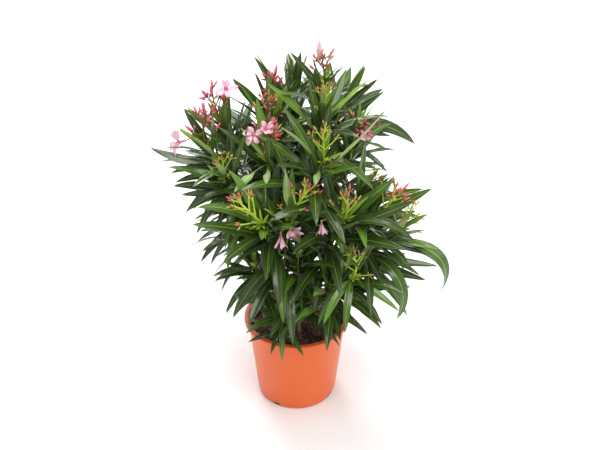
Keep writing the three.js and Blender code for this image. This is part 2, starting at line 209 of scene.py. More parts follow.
def add_piece(name, points, faces, materials, slots=None, uv=None, smooth=True):
    """A mesh object at the origin from points in millimetres, faces, and a material for each face."""
    mesh = bpy.data.meshes.new(name)
    mesh.from_pydata((np.asarray(points) * 0.001).tolist(), [], faces)
    for material in materials:
        mesh.materials.append(material)
    if slots is not None:
        mesh.polygons.foreach_set("material_index", np.asarray(slots, dtype=np.int32))
    mesh.polygons.foreach_set("use_smooth", np.full(len(mesh.polygons), smooth))
    if uv is not None:
        corners = np.empty(len(mesh.loops), dtype=np.int32)
        mesh.loops.foreach_get("vertex_index", corners)
        layer = mesh.uv_layers.new(name="length_and_width")
        layer.data.foreach_set("uv", np.asarray(uv, dtype=np.float32)[corners].ravel())
    mesh.update()
    made = bpy.data.objects.new(name, mesh)
    bpy.context.collection.objects.link(made)
    return made


def round_steps(count):
    """Angles of count even steps round a circle."""
    return np.linspace(0, 2 * np.pi, count, endpoint=False)


floor_paint = Sketch("floor_paint")
floor_shade = floor_paint.blend(floor_paint.noise(3.0), *FLOOR_GREY)
floor_turn = round_steps(FLOOR_SIDES)
floor_rim = FLOOR_RADIUS * np.stack([np.cos(floor_turn), np.sin(floor_turn), np.zeros(FLOOR_SIDES)], 1)
floor = add_piece("floor", floor_rim - (0, 0, 0.5), [list(range(FLOOR_SIDES))],
                  [floor_paint.finish(base_color=floor_shade, roughness=0.7)], smooth=False)

# Pot
# A round nursery container, moulded in thin orange plastic with a satin finish. It tapers to a foot
# with drainage holes at the corner of its floor, and has a rolled lip that nests in the next pot.
POT_HEIGHT = 164.0
LIP_RADIUS = 95.0
LIP_DEPTH = 7.0
WALL_TOP_RADIUS = 88.0
BASE_RADIUS = 71.0
POT_WALL = 1.8
POT_FLOOR = 2.5
POT_EDGE = 3.0
POT_SIDES = 144
HOLE_TURN = math.radians(-32.0)
HOLE_WIDTH = 12.0
HOLE_HEIGHT = 6.5
HOLE_DEPTH = 13.0
HOLE_COUNT = 4
POT_ORANGE = (0.72, 0.118, 0.018)
POT_LIGHT = (0.80, 0.145, 0.028)
POT_SCUFF = (0.45, 0.13, 0.06)
SCUFFS_BY_HEIGHT = (0.25, (0.1, 0.1, 0.1)), (1.0, (1, 1, 1)), (1.0, (0.2, 0.2, 0.2))


def rounded(corners, radius, steps=5):
    """A profile whose inner corners are arcs: each is a quadratic bend between points radius away."""
    corners = np.asarray(corners, dtype=float)
    line = [corners[0]]
    for before, corner, after in zip(corners[:-2], corners[1:-1], corners[2:]):
        reach = min(radius, 0.45 * np.linalg.norm(before - corner), 0.45 * np.linalg.norm(after - corner))
        start = corner + reach * (before - corner) / np.linalg.norm(before - corner)
        end = corner + reach * (after - corner) / np.linalg.norm(after - corner)
        t = np.linspace(0, 1, steps)[:, None]
        line.extend((1 - t) ** 2 * start + 2 * t * (1 - t) * corner + t ** 2 * end)
    line.append(corners[-1])
    return np.array(line)


def ring_quads(rings, sides):
    """Four-cornered faces between rings of points that follow each other, each ring closed."""
    row, column = np.meshgrid(np.arange(rings - 1), np.arange(sides), indexing="ij")
    near, far = row * sides + column, row * sides + (column + 1) % sides
    return np.stack([near, far, far + sides, near + sides], 2).reshape(-1, 4)


def turned(profile, sides):
    """A profile of radius and height, from axis to axis, carried round the upright axis."""
    ring = profile[1:-1]
    turn = round_steps(sides)
    points = np.stack([ring[:, None, 0] * np.cos(turn), ring[:, None, 0] * np.sin(turn),
                       np.repeat(ring[:, 1:], sides, axis=1)], 2).reshape(-1, 3)
    points = np.vstack([points, [0, 0, profile[0, 1]], [0, 0, profile[-1, 1]]])
    around, last = np.arange(sides), (len(ring) - 1) * sides
    after = (around + 1) % sides
    foot = np.stack([np.full(sides, len(points) - 2), after, around], 1).tolist()
    head = np.stack([np.full(sides, len(points) - 1), last + around, last + after], 1).tolist()
    return points, ring_quads(len(ring), sides).tolist() + foot + head


lip_foot = POT_HEIGHT - LIP_DEPTH
pot_profile = rounded([
    (0, 0), (BASE_RADIUS - POT_EDGE, 0),
    (BASE_RADIUS, POT_EDGE), (BASE_RADIUS + 0.4, 10), (BASE_RADIUS + 1.8, 11),
    (WALL_TOP_RADIUS, lip_foot), (LIP_RADIUS - 0.8, lip_foot + 0.3), (LIP_RADIUS, lip_foot + 1.6),
    (LIP_RADIUS, POT_HEIGHT), (WALL_TOP_RADIUS - POT_WALL, POT_HEIGHT - 0.4),
    (WALL_TOP_RADIUS - POT_WALL, lip_foot - 4), (BASE_RADIUS - POT_WALL, POT_FLOOR + POT_EDGE),
    (BASE_RADIUS - POT_WALL - POT_EDGE, POT_FLOOR), (0, POT_FLOOR)], 1.5)
pot_points, pot_faces = turned(pot_profile, POT_SIDES)

plastic = Sketch("orange_plastic")
height = plastic.node("ShaderNodeSeparateXYZ", None, {"Vector": plastic.place()}, output=2)
scuffs = plastic.ramp(plastic.noise(160.0, 6.0), (0.62, (0, 0, 0)), (0.74, (1, 1, 1)))
# scuffs thicken over the lowest sixth of the height, and are few above it
wear = scuffs * plastic.ramp(height * 6.0, *SCUFFS_BY_HEIGHT)
tone = plastic.blend(plastic.noise(9.0), POT_ORANGE, POT_LIGHT)
plastic_finish = plastic.finish(
    base_color=plastic.blend(wear * 0.35, tone, POT_SCUFF), specular_ior_level=0.3,
    roughness=plastic.noise(30.0) * 0.12 + 0.34, coat_weight=0.15, coat_roughness=0.25,
    normal=plastic.bump(plastic.noise(900.0, 2.0), 0.06, 0.0004))

pot = add_piece("nursery_pot", pot_points, pot_faces, [plastic_finish])
hole_turn = HOLE_TURN + 2 * np.pi * np.arange(HOLE_COUNT)[:, None, None] / HOLE_COUNT
corner = np.array([(x * y, y, z) for z in (-1, 1) for y in (-1, 1) for x in (1, -1)])
box_x = corner[:, :1] * HOLE_WIDTH / 2
box_y = corner[:, 1:2] * HOLE_DEPTH / 2 - BASE_RADIUS
box_points = np.concatenate([box_x * np.cos(hole_turn) - box_y * np.sin(hole_turn),
                             box_x * np.sin(hole_turn) + box_y * np.cos(hole_turn),
                             np.tile(corner[:, 2:] * HOLE_HEIGHT, (HOLE_COUNT, 1, 1))], 2).reshape(-1, 3)
box_faces = np.array([(3, 2, 1, 0), (4, 5, 6, 7), (0, 1, 5, 4), (1, 2, 6, 5), (2, 3, 7, 6), (3, 0, 4, 7)])
box_faces = (box_faces + 8 * np.arange(HOLE_COUNT)[:, None, None]).reshape(-1, 4).tolist()
cutter = add_piece("cutter", box_points, box_faces, [plastic_finish], smooth=False)
cut = pot.modifiers.new("holes", "BOOLEAN")
cut.operation = "DIFFERENCE"
cut.solver = "EXACT"
cut.object = cutter
bpy.context.view_layer.update()
notched = bpy.data.meshes.new_from_object(pot.evaluated_get(bpy.context.evaluated_depsgraph_get()))
pot.modifiers.clear()
pot.data = notched
bpy.data.objects.remove(cutter)
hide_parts("pot")
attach(pot, "root")

# Compost
# Dark, moist compost fills the pot to a little below its lip. Reddish crumbs of bark and a few pale
# straws lie loose on it, pressed into the surface.
SOIL_TOP = 147.0
SOIL_SETTLING = 5.0
SOIL_RADIUS = WALL_TOP_RADIUS - POT_WALL - 1.4
SOIL_FOOT = 0.8
SOIL_RINGS = 40
SOIL_SIDES = 160
SOIL_LEVEL = 60.0
SOIL_LUMPS = 1.6
LOOSE = (
    # number, length, width, thickness, slant and seed; finish, its two colours, roughness, clouds, grain
    ("bark_chips", (900, 3.2, 1.8, 0.8, 1.2, 5), "bark_crumb", (0.06, 0.022, 0.012), (0.24, 0.1, 0.055),
     0.85, (120.0, 3.0), (700.0, 3.0, 0.4, 0.0008)),
    ("straws", (70, 7.0, 0.7, 0.4, 0.7, 8), "straw", (0.34, 0.24, 0.13), (0.62, 0.5, 0.33),
     0.7, (90.0, 3.0), (900.0, 3.0, 0.3, 0.0005)),
)


def lumps(x, y, seed, waves=26, finest=5.0):
    """Sum of sine waves of random direction and length: an uneven surface from about -1 to 1."""
    local = np.random.default_rng(seed)
    total = np.zeros_like(x)
    for _ in range(waves):
        length = finest * 8 ** local.random()
        way, phase = local.random(2) * 2 * np.pi
        distance = x * np.cos(way) + y * np.sin(way)
        total += (length / finest) ** 0.5 * np.sin(distance * 2 * np.pi / length + phase)
    return total / (0.9 * waves)


def soil_height(x, y):
    """Level out to SOIL_LEVEL, then settled towards the wall by a power of the way there, with lumps."""
    radius = np.hypot(x, y)
    settled = SOIL_SETTLING * np.clip((radius - SOIL_LEVEL) / (SOIL_RADIUS - SOIL_LEVEL), 0, 1) ** 1.5
    return SOIL_TOP - settled + SOIL_LUMPS * lumps(x, y, 3) - 0.6


def capped(rings, sides, outward=True):
    """Faces of a body of closed rings, with a flat face over its first and its last ring."""
    quads = ring_quads(rings, sides)
    ends = [list(range(sides)), list(range(rings * sides - 1, (rings - 1) * sides - 1, -1))]
    if outward:
        return quads[:, [0, 3, 2, 1]].tolist() + ends
    return quads.tolist() + [end[::-1] for end in ends]


def grained(name, dark, light, roughness, clouds, grain, **more):
    """A finish whose colour drifts between two in clouds, over a fine grain. Clouds has the scale and
    the detail of its noise, and grain has those of the bump with its strength and depth."""
    made = Sketch(name)
    return made.finish(base_color=made.blend(made.noise(*clouds), dark, light), roughness=roughness,
                       normal=made.bump(made.noise(*grain[:2]), *grain[2:]), **more)


soil_turn = round_steps(SOIL_SIDES)
soil_ring = SOIL_RADIUS * np.linspace(0.02, 1, SOIL_RINGS)[:, None]
soil_x, soil_y = soil_ring * np.cos(soil_turn), soil_ring * np.sin(soil_turn)
soil_points = np.stack([soil_x, soil_y, soil_height(soil_x, soil_y)], 2).reshape(-1, 3)
foot_scale = (BASE_RADIUS - POT_WALL - 0.6) / SOIL_RADIUS
soil_foot = np.stack([soil_x[-1] * foot_scale, soil_y[-1] * foot_scale,
                      np.full(SOIL_SIDES, SOIL_FOOT)], 1)
earth_finish = grained("compost", (0.016, 0.009, 0.006), (0.075, 0.04, 0.024), 0.9,
                       (260.0, 8.0), (420.0, 10.0, 0.9, 0.003))
compost = add_piece("compost", np.vstack([soil_points, soil_foot]), capped(SOIL_RINGS + 1, SOIL_SIDES),
                    [earth_finish])


def crumbs(count, length, width, thickness, lean, seed):
    """Bent, pointed flakes strewn over the compost: six points each, out from its middle by shares of
    its length, width and thickness, joined in eight faces."""
    local = np.random.default_rng(seed)
    radius = (SOIL_RADIUS - 4) * np.sqrt(local.random(count))
    angle = 2 * np.pi * local.random(count)
    x, y = radius * np.cos(angle), radius * np.sin(angle)
    turn, tip = 2 * np.pi * local.random(count), lean * (local.random(count) - 0.5)
    size = 0.5 + local.random(count)
    along = np.stack([np.cos(turn) * np.cos(tip), np.sin(turn) * np.cos(tip), np.sin(tip)], 1)
    across = np.stack([-np.sin(turn), np.cos(turn), np.zeros(count)], 1)
    above = np.cross(along, across)
    middle = np.stack([x, y, soil_height(x, y) + 0.3 * thickness], 1)
    reach = [(1, 0, 0), (0, 1, 0.2), (0, 0, 1), (-1, 0.1, 0.3), (0, -1, 0), (0.1, 0, -1)]
    outward = [a * length * along + b * width * across + c * thickness * above for a, b, c in reach]
    points = np.stack([middle + size[:, None] * way for way in outward], 1).reshape(-1, 3)
    faces = np.array([(0, 1, 2), (1, 3, 2), (3, 4, 2), (4, 0, 2),
                      (1, 0, 5), (3, 1, 5), (4, 3, 5), (0, 4, 5)])
    return points, (faces[None] + 6 * np.arange(count)[:, None, None]).reshape(-1, 3).tolist()


loose = [compost]
for name, strewn, *finish in LOOSE:
    loose.append(add_piece(name, *crumbs(*strewn), [grained(*finish)], smooth=False))
for piece in loose:
    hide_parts("soil")
    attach(piece, "root")

# Stems and boughs
# Grey-brown young wood rises from the compost in arching stems, a little flared at the foot, and
# forks into thinner boughs. Old leaf scars ring the bark in threes. Lengths are in millimetres.
UP = np.array([0.0, 0.0, 1.0])
LIMBS = (
    # name, limb that it forks from, foot or share of that limb's length at the fork, tip, how far it
    # bends, whorls, size of leaf, length of the flower stalk, open flowers
    ("left", None, (-42, 2), (-117, -10, 546), 0.5, 8, 0.88, 50, 1),
    ("front_left", None, (-24, -38), (-54, -125, 437), 0.66, 7, 1.0, 46, 0),
    ("centre", None, (10, -14), (40, -95, 532), 0.66, 8, 1.0, 34, 0),
    ("front_right", None, (35, -37), (76, -99, 429), 0.6, 8, 1.0, 32, 0),
    ("right", None, (52, 8), (101, 20, 524), 0.5, 8, 0.78, 36, 0),
    ("crown", None, (14, 32), (45, 50, 603), 0.5, 8, 0.74, 76, 0),
    ("crown_left", None, (-28, 36), (-39, 60, 562), 0.5, 8, 1.0, 30, 0),
    ("low_front_left", None, (-56, -26), (-72, -62, 315), 0.6, 6, 0.8, 0, 0),
    ("low_centre", None, (4, -46), (2, -78, 350), 0.6, 7, 0.86, 0, 0),
    ("low_middle", None, (50, -58), (56, -88, 290), 0.6, 5, 0.9, 0, 0),
    ("sucker", None, (-20, -60), (-29, -78, 226), 0.6, 6, 0.5, 0, 0),
    ("far_left", "left", 0.5, (-142, -40, 529), 0.4, 7, 0.88, 40, 1),
    ("left_front", "left", 0.36, (-111, -70, 488), 0.45, 7, 0.86, 28, 0),
    ("low_left", "left", 0.17, (-112, 60, 360), 0.4, 6, 0.9, 0, 0),
    ("front", "front_left", 0.22, (-10, -105, 430), 0.45, 7, 1.0, 50, 1),
    ("centre_left", "centre", 0.3, (-50, -50, 515), 0.45, 7, 1.0, 46, 2),
    ("low_front_right", "front_right", 0.08, (94, -95, 314), 0.4, 6, 1.0, 0, 0),
    ("right_arch", "right", 0.16, (162, -70, 383), 0.4, 6, 1.0, 34, 0),
    ("far_right", "right", 0.24, (131, -55, 404), 0.45, 6, 0.86, 50, 0),
    ("mid_right", "right", 0.32, (109, -20, 431), 0.4, 6, 1.0, 36, 0),
    ("back_right", "right", 0.44, (104, 115, 480), 0.45, 7, 0.9, 0, 0),
    ("low_back", "right", 0.08, (110, 95, 300), 0.35, 6, 0.9, 0, 0),
    ("crown_front", "crown", 0.34, (44, -5, 567), 0.4, 7, 1.0, 30, 0),
    ("crown_right", "crown", 0.5, (76, 60, 551), 0.45, 7, 1.0, 0, 0),
    ("back", "crown", 0.25, (10, 160, 400), 0.45, 7, 1.0, 36, 0),
    ("upper", "crown_left", 0.38, (-44, 5, 549), 0.4, 7, 0.86, 42, 0),
    ("crown_back", "crown_left", 0.3, (-1, 105, 564), 0.45, 7, 1.0, 30, 0),
    ("back_left", "crown_left", 0.22, (-92, 130, 430), 0.45, 7, 1.0, 40, 1),
)
LIMB_FACTS = ("name", "parent", "root", "tip", "rise", "whorls", "leaf", "bloom", "open")
STEM_RADIUS = 5.6
ROOT_FLARE = 0.28
BOUGH_RADIUS = 3.9
SHOOT_RADIUS = 2.6
TIP_RADIUS = 1.7
SHOOT_FOOT = 12.0
FORK_SPREAD = 1.6
WHORL_FIRST, WHORL_STEP, WHORL_WIDENING = 6.0, 15.0, 1.3
SCAR_SPACING = 19.0
WOOD_SIDES, WOOD_STEP = 15, 2.4
BARK_COLOURS = (0.25, (0.07, 0.05, 0.028)), (0.5, (0.17, 0.13, 0.07)), (0.75, (0.24, 0.22, 0.11))


def chance(*keys):
    """A seeded chance from 0 to 1, mixed from whole-number keys."""
    mixed = 2166136261
    for key in keys:
        mixed = ((mixed ^ key) * 16777619) & 0xFFFFFFFF
        mixed = ((mixed ^ (mixed >> 15)) * 2246822519) & 0xFFFFFFFF
        mixed ^= mixed >> 13
    return mixed / 4294967296


def jitter(amount, *keys):
    """A seeded share of amount, from minus to plus the whole of it."""
    return amount * (2 * chance(*keys) - 1)


def unit(vectors):
    """Vectors divided by their length."""
    return vectors / np.linalg.norm(vectors, axis=-1, keepdims=True)


def curve_point(line, t):
    """Quadratic curve through its first and last point, pulled towards its middle one."""
    t = np.asarray(t, dtype=float)[..., None]
    return (1 - t) ** 2 * line[0] + 2 * t * (1 - t) * line[1] + t ** 2 * line[2]


def curve_frame(line, t):
    """Point, direction and two square directions across, at t along a curve."""
    t = np.asarray(t, dtype=float)
    along = unit((1 - t)[..., None] * (line[1] - line[0]) + t[..., None] * (line[2] - line[1]))
    side = unit(np.array([1.0, 0.0, 0.0]) - along[..., :1] * along)
    return curve_point(line, t), along, side, np.cross(side, along)


def tip_speed(line):
    """How fast the curve moves at its end: millimetres for each unit of t."""
    return 2 * np.linalg.norm(line[2] - line[1])


def whorl_back(limb, k):
    """How far below the tip the k-th whorl stands: whorls lie further apart as they are older."""
    return limb.leaf * (WHORL_FIRST + WHORL_STEP * k + WHORL_WIDENING * k * k)


def whorl_place(limb, k):
    """Where the k-th whorl below the tip stands on its limb's curve."""
    return 1 - whorl_back(limb, k) / tip_speed(limb.line)


limbs = {}
for index, row in enumerate(LIMBS):
    limb = SimpleNamespace(**dict(zip(LIMB_FACTS, row)), index=index)
    tip = np.array(limb.tip, dtype=float)
    parent = limbs.get(limb.parent)
    if parent:
        base, along, _, _ = curve_frame(parent.line, limb.root)
        start = unit(along + FORK_SPREAD * unit(tip - base))
    else:
        base, start = np.array([*limb.root, SOIL_TOP + 0.3]), UP
    control = base + start * limb.rise * np.linalg.norm(tip - base)
    limb.line = np.stack([base, control, tip])
    leafy = whorl_back(limb, limb.whorls - 1) + SHOOT_FOOT * limb.leaf
    limb.bare = 1 - leafy / tip_speed(limb.line)
    limbs[limb.name] = limb
shoots = list(limbs.values())
wood_nodes = [("bough_" if limb.parent else "stem_") + limb.name for limb in shoots]


def tube(line, start, end, radius_at, sides, rings, relief=None):
    """A ring of points carried along a curve from start to end, its radius a function of the share
    gone, with relief, a function of the share gone and the turn, added to it."""
    share = np.linspace(0, 1, rings)
    point, _, side, front = curve_frame(line, start + (end - start) * share)
    turn = round_steps(sides)
    radius = radius_at(share)[:, None] * np.ones(sides)
    if relief:
        radius = radius + relief(share[:, None], turn[None, :])
    around = side[:, None] * np.cos(turn)[None, :, None] + front[:, None] * np.sin(turn)[None, :, None]
    points = (point[:, None] + radius[..., None] * around).reshape(-1, 3)
    return points, capped(rings, sides)


class Heap:
    """Gathers like shapes into the points, faces and slots of one joined piece."""

    def __init__(self):
        self.points, self.faces, self.slots, self.uv, self.count = [], [], [], [], 0

    def add(self, points, faces, slots=None, uv=None):
        """One more shape, its faces numbered on from those that are in place."""
        self.points.append(points)
        self.faces.extend([[corner + self.count for corner in face] for face in faces])
        self.slots.extend(slots if slots is not None else [0] * len(faces))
        self.uv.append(uv if uv is not None else np.zeros((len(points), 2)))
        self.count += len(points)

    def piece(self, name, materials):
        """The joined piece."""
        return add_piece(name, np.vstack(self.points), self.faces, materials, self.slots,
                         np.vstack(self.uv))


def limb_radius(limb):
    """Radius along a limb: an even taper, and for a stem a flare by a power of the share to go."""
    base = BOUGH_RADIUS if limb.parent else STEM_RADIUS * limb.leaf
    flare = 0 if limb.parent else ROOT_FLARE
    end = SHOOT_RADIUS * math.sqrt(limb.leaf)
    return lambda share: (base + (end - base) * share) * (1 + flare * (1 - share) ** 12)


def bark_relief(length, seed):
    """Scars of three old leaves at each joint, a low ridge between them, and fine long furrows."""
    def relief(share, turn):
        along = share * length / SCAR_SPACING
        place = along + 0.3
        joint, gone = np.floor(place), place - np.floor(place)
        scar = np.exp(-((gone - 0.5) / 0.06) ** 2)
        three = np.clip(np.cos(3 * turn + np.pi * joint + seed), 0, 1) ** 3
        furrow = 0.1 * np.sin(5 * turn + seed) + 0.07 * np.sin(9 * turn + 3 * along)
        return scar * (0.12 + 0.5 * three) + furrow
    return relief


wood_heap = Heap()
for limb in shoots:
    length = np.linalg.norm(limb.line[2] - limb.line[0]) * limb.bare * 1.05
    wood_heap.add(*tube(limb.line, 0, limb.bare + 0.004, limb_radius(limb), WOOD_SIDES,
                        max(8, int(length / WOOD_STEP)), bark_relief(length, 2.4 * limb.index)))

bark = Sketch("young_bark")
bark_cloud = bark.noise(70.0, 6.0)
bark_grain = bark.bump(bark.noise(900.0, 2.0) + bark_cloud * 2.0, 0.5, 0.0008)
bark_finish = bark.finish(base_color=bark.ramp(bark_cloud, *BARK_COLOURS),
                          roughness=bark_cloud * 0.2 + 0.62, normal=bark_grain)
wood = wood_heap.piece("stems_and_boughs", [bark_finish])
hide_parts(*wood_nodes)
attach(wood, "root")

# Shoots
# Each limb runs on into a leafy shoot, brownish green where it is older and bright yellow-green
# over its last inches, thickened a little at each whorl of leaves.
YOUNG_LENGTH = 62.0
SHOOT_SIDES, SHOOT_RINGS = 10, 44
SWELLING, SWELLING_LENGTH = 0.35, 2.2
mass_nodes = ["leaves_" + limb.name for limb in shoots]


def shoot_relief(limb):
    """A low swelling where each whorl of three leaves stands."""
    marks = [whorl_place(limb, k) for k in range(limb.whorls)]

    def relief(share, turn):
        t = limb.bare + (1 - limb.bare) * share
        away = [(t - mark) * tip_speed(limb.line) / SWELLING_LENGTH for mark in marks]
        return SWELLING * sum(np.exp(-one ** 2) for one in away) + 0.06 * np.cos(3 * turn)
    return relief


def shoot_radius(limb, thicker=1.0):
    """Radius along a shoot: an even taper from its foot to its tip, less on limbs with small leaves."""
    size = thicker * math.sqrt(limb.leaf)
    return lambda share: size * (SHOOT_RADIUS + (TIP_RADIUS - SHOOT_RADIUS) * share)


shoot_heap = Heap()
for limb in shoots:
    young = max(limb.bare + 0.02, 1 - YOUNG_LENGTH * limb.leaf / tip_speed(limb.line))
    first_young = int((SHOOT_RINGS - 1) * (young - limb.bare) / (1 - limb.bare))
    slots = (np.arange(SHOOT_SIDES * (SHOOT_RINGS - 1)) // SHOOT_SIDES >= first_young).astype(int)
    shoot_heap.add(*tube(limb.line, limb.bare, 1.0, shoot_radius(limb), SHOOT_SIDES, SHOOT_RINGS,
                         shoot_relief(limb)), [*slots.tolist(), 0, 1])

older_finish = grained("older_shoot", (0.085, 0.1, 0.03), (0.17, 0.15, 0.055), 0.5,
                       (60.0, 4.0), (800.0, 3.0, 0.25, 0.0005))
fresh_finish = grained("young_shoot", (0.34, 0.48, 0.045), (0.5, 0.6, 0.09), 0.38,
                       (50.0, 3.0), (700.0, 3.0, 0.15, 0.0004))
shoot_piece = shoot_heap.piece("leafy_shoots", [older_finish, fresh_finish])
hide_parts(*mass_nodes)
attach(shoot_piece, "root")

# Growth rule
# Leaves stand in threes, each whorl turned to the gaps of the one above. Each leaf takes the first
# stance in which it touches no other leaf, limb or pot, and is left out where there is none.
LEAF_LENGTH = 132.0
LEAF_WIDTH = 0.148
LEAF_THICKNESS = 0.014
LEAF_STEPS = 50
LEAVES_IN_WHORL = 3
WHORL_TWIST = 60.0
TURN_SCATTER, SPREAD_SCATTER, LENGTH_SCATTER, SAG_SCATTER = 10, 7, 0.09, 0.5
ROOT_OFFSET = 0.6
ARCH_OUT = 80.0
SPREAD = (17, 28, 39, 50, 60, 70, 78, 85, 90)
LENGTH_SHARE = (0.5, 0.78, 0.95, 1.02, 1.0, 0.97, 0.92, 0.86, 0.8)
SAG = (0.05, 0.1, 0.18, 0.28, 0.4, 0.52, 0.6, 0.66, 0.7)
STANCES = ((0, 0, 1), (13, 4, 1), (-13, 4, 1), (25, 9, 1), (-25, 9, 1), (10, -9, 1), (-10, -9, 1),
           (6, 18, 1), (0, 0, 0.8), (20, 0, 0.8), (-20, 0, 0.8))
LEAF_OUTLINE = ((0.3, 0.94), (0.66, 0.86))
YOUNG_OUTLINE = ((0.46, 1.0),)
BUD_LENGTH = 32.0
BUD_WIDTH = 6.0
STALK_RADIUS = 1.2
BUD_TURN = 137.5
BARE_BOUGH, BARE_STEM = 0.22, 0.1
OLD_FILLING, TIP_FILLING, SHOOT_FILLING = 0.85, 0.5, 0.8
OLD_WHORLS = 12
PLACED = (
    # limb; the whorl and number of each leaf, where its point reaches, its sag, how far its face
    # rolls to the front (a quarter turn twists the leaf instead), and its green
    ("right_arch", (3, 0, 247, -62, 262, 1.2, 40, "grown"), (4, 0, 171, -90, 223, 1.15, 40, "grown"),
     (1, 2, 210, -90, 433, 0.1, 0, "bright"), (0, 1, 202, -110, 410, 0.25, 0, "bright")),
    ("mid_right", (2, 2, 154, 20, 446, 0.1, 30, "old")),
    ("far_right", (2, 0, 218, -60, 463, 0.1, 10, "grown")),
    ("crown_right", (3, 0, 209, 120, 449, 0.75, 35, "old"), (1, 0, 146, 108, 560, 0.15, 45, "old"),
     (2, 0, 162, 80, 485, 0.1, 25, "old"), (0, 0, 113, 92, 612, 0.1, 0, "bright"),
     (0, 1, 111, 40, 631, 0.0, 30, "grown")),
    ("crown", (0, 1, 80, 50, 627, 0.0, 0, "bright"), (1, 2, 46, 35, 618, 0.1, 0, "grown"),
     (0, 2, 65, 30, 633, 0.0, 0, "grown")),
    ("right", (2, 0, 149, -10, 465, 0.5, 20, "old"), (1, 1, 151, 10, 497, 0.2, 20, "grown")),
    ("crown_left", (2, 0, -102, 20, 619, 0.05, 50, "old")),
    ("crown_back", (1, 2, -17, 100, 623, 0.1, -40, "grown")),
    ("left", (2, 1, -80, -20, 598, 0.0, 10, "old"), (3, 1, -91, -10, 574, 0.1, 10, "old")),
    ("far_left", (2, 0, -236, -20, 516, -0.35, 20, "old"), (3, 1, -205, -20, 469, 0.3, 45, "old")),
    ("left_front", (2, 0, -203, -60, 502, 0.3, 25, "grown"), (3, 1, -200, -40, 456, 0.3, 35, "old"),
     (3, 2, -187, -50, 445, 0.2, 35, "old"), (2, 2, -178, -70, 426, 0.4, 35, "old"),
     (1, 0, -75, -66, 573, 0.1, 0, "grown")),
    ("low_left", (2, 0, -172, 10, 316, 0.4, 45, "old"), (2, 1, -168, 0, 279, 0.5, 45, "old")),
    ("low_front_left", (2, 0, -136, -90, 302, 0.5, 35, "old"), (2, 1, -119, -100, 245, 0.5, 45, "old"),
     (3, 0, -121, -64, 215, 0.8, 0, "old")),
    ("centre_left", (0.5, 1, -97, -105, 482, 0.3, 90, "pale"), (0.5, 0, -47, -95, 491, 0.2, 90, "pale")),
    ("front", (0.5, 1, -16, -110, 522, 0.1, 90, "pale")),
    ("centre", (0.5, 1, 29, -125, 506, 0.5, 90, "pale"), (0.5, 0, -22, -110, 597, 0.2, -45, "pale"),
     (1, 0, -19, -64, 608, 0.15, 20, "grown"), (2, 1, 131, -70, 599, -0.25, -50, "pale")),
    ("front_left", (1, 0, -150, -152, 483, 0.35, 0, "grown"), (4, 1, -28, -160, 300, 0.7, 0, "old")),
    ("front_right", (1, 0, 183, -130, 413, 0.6, 0, "old"), (1, 1, -43, -150, 455, 0.6, 0, "old"),
     (1, 2, 188, -90, 459, -0.2, 0, "old")),
    ("low_centre", (1, 0, -59, -140, 429, 0.2, 0, "old")),
    ("low_front_right", (1, 0, 181, -110, 288, 0.4, 0, "grown"),
     (0, 0, 170, -125, 266, 0.2, 30, "bright"), (0, 1, 79, -160, 248, 0.8, 0, "grown"),
     (0, 2, 44, -150, 258, 0.6, 0, "bright"), (2, 0, 144, -115, 231, 0.4, 30, "old"),
     (2, 2, 141, -120, 237, 0.8, 0, "old"), (1, 2, 36, -122, 236, 0.7, 0, "grown")),
    ("low_middle", (3, 0, 120, -110, 206, 0.3, 30, "old")),
    ("sucker", (1, 0, -73, -95, 252, 0.2, 20, "grown"), (1, 1, 11, -95, 260, 0.2, 20, "grown"),
     (2, 1, -85, -115, 212, 0.5, 20, "grown"), (2, 0, -25, -112, 150, 0.9, 0, "grown")),
    ("far_left", (4, 2, -197, -35, 460, 0.3, 45, "old")),
    ("low_left", (3, 0, -170, 30, 324, 0.3, 45, "old"), (3, 1, -164, -10, 307, 0.4, 45, "old")),
    ("low_front_left", (1, 1, -140, -80, 305, 0.4, 35, "old")),
    ("crown_back", (2, 1, -69, 80, 631, 0.0, 35, "old")),
    ("crown", (1, 0, -10, 62, 646, 0.0, 35, "old")),
    ("crown_right", (0, 2, 133, 60, 600, 0.0, 35, "old"), (2, 1, 144, 60, 578, 0.0, 35, "old")),
    ("far_left", (1, 1, -175, -35, 591, 0.1, 30, "old")),
    ("low_back", (4, 0, 252, 20, 257, 0.05, 45, "old"), (4, 1, 234, 30, 219, 0.05, 45, "old")),
)
# the same, found by limb, whorl and leaf
REACHING = {(name, k, j): (place, sag, roll, green)
            for name, *rows in PLACED for k, j, *place, sag, roll, green in rows}
FALLEN = {
    # limb: the whorls and leaves that have dropped, which opens the air beside it
    "back_right": ((4, 1), (3, 0), (3.5, 0), (2, 1), (4.5, 0), (1, 0)),
    "right": ((4, 0), (4.5, 2), (5, 0), (1, 2)),
    "crown_right": ((4, 0), (4.5, 2), (5, 2), (1, 2)),
    "crown": ((2, 0), (1, 1)),
    "crown_front": ((1, 2),),
    "crown_left": ((1, 0), (1, 2), (1.5, 2)),
    "crown_back": ((3, 2), (1, 0)),
    "mid_right": ((1, 2),),
    "right_arch": ((2, 0), (3, 2)),
    "left": ((2, 0), (3, 2)),
    "far_left": ((3, 0), (2, 1)),
    "left_front": ((4, 0),),
    "front_left": ((4, 0),),
    "low_front_left": ((4, 1), (5, 0)),
    "low_front_right": ((5, 2),),
    "low_middle": ((4, 1),),
}


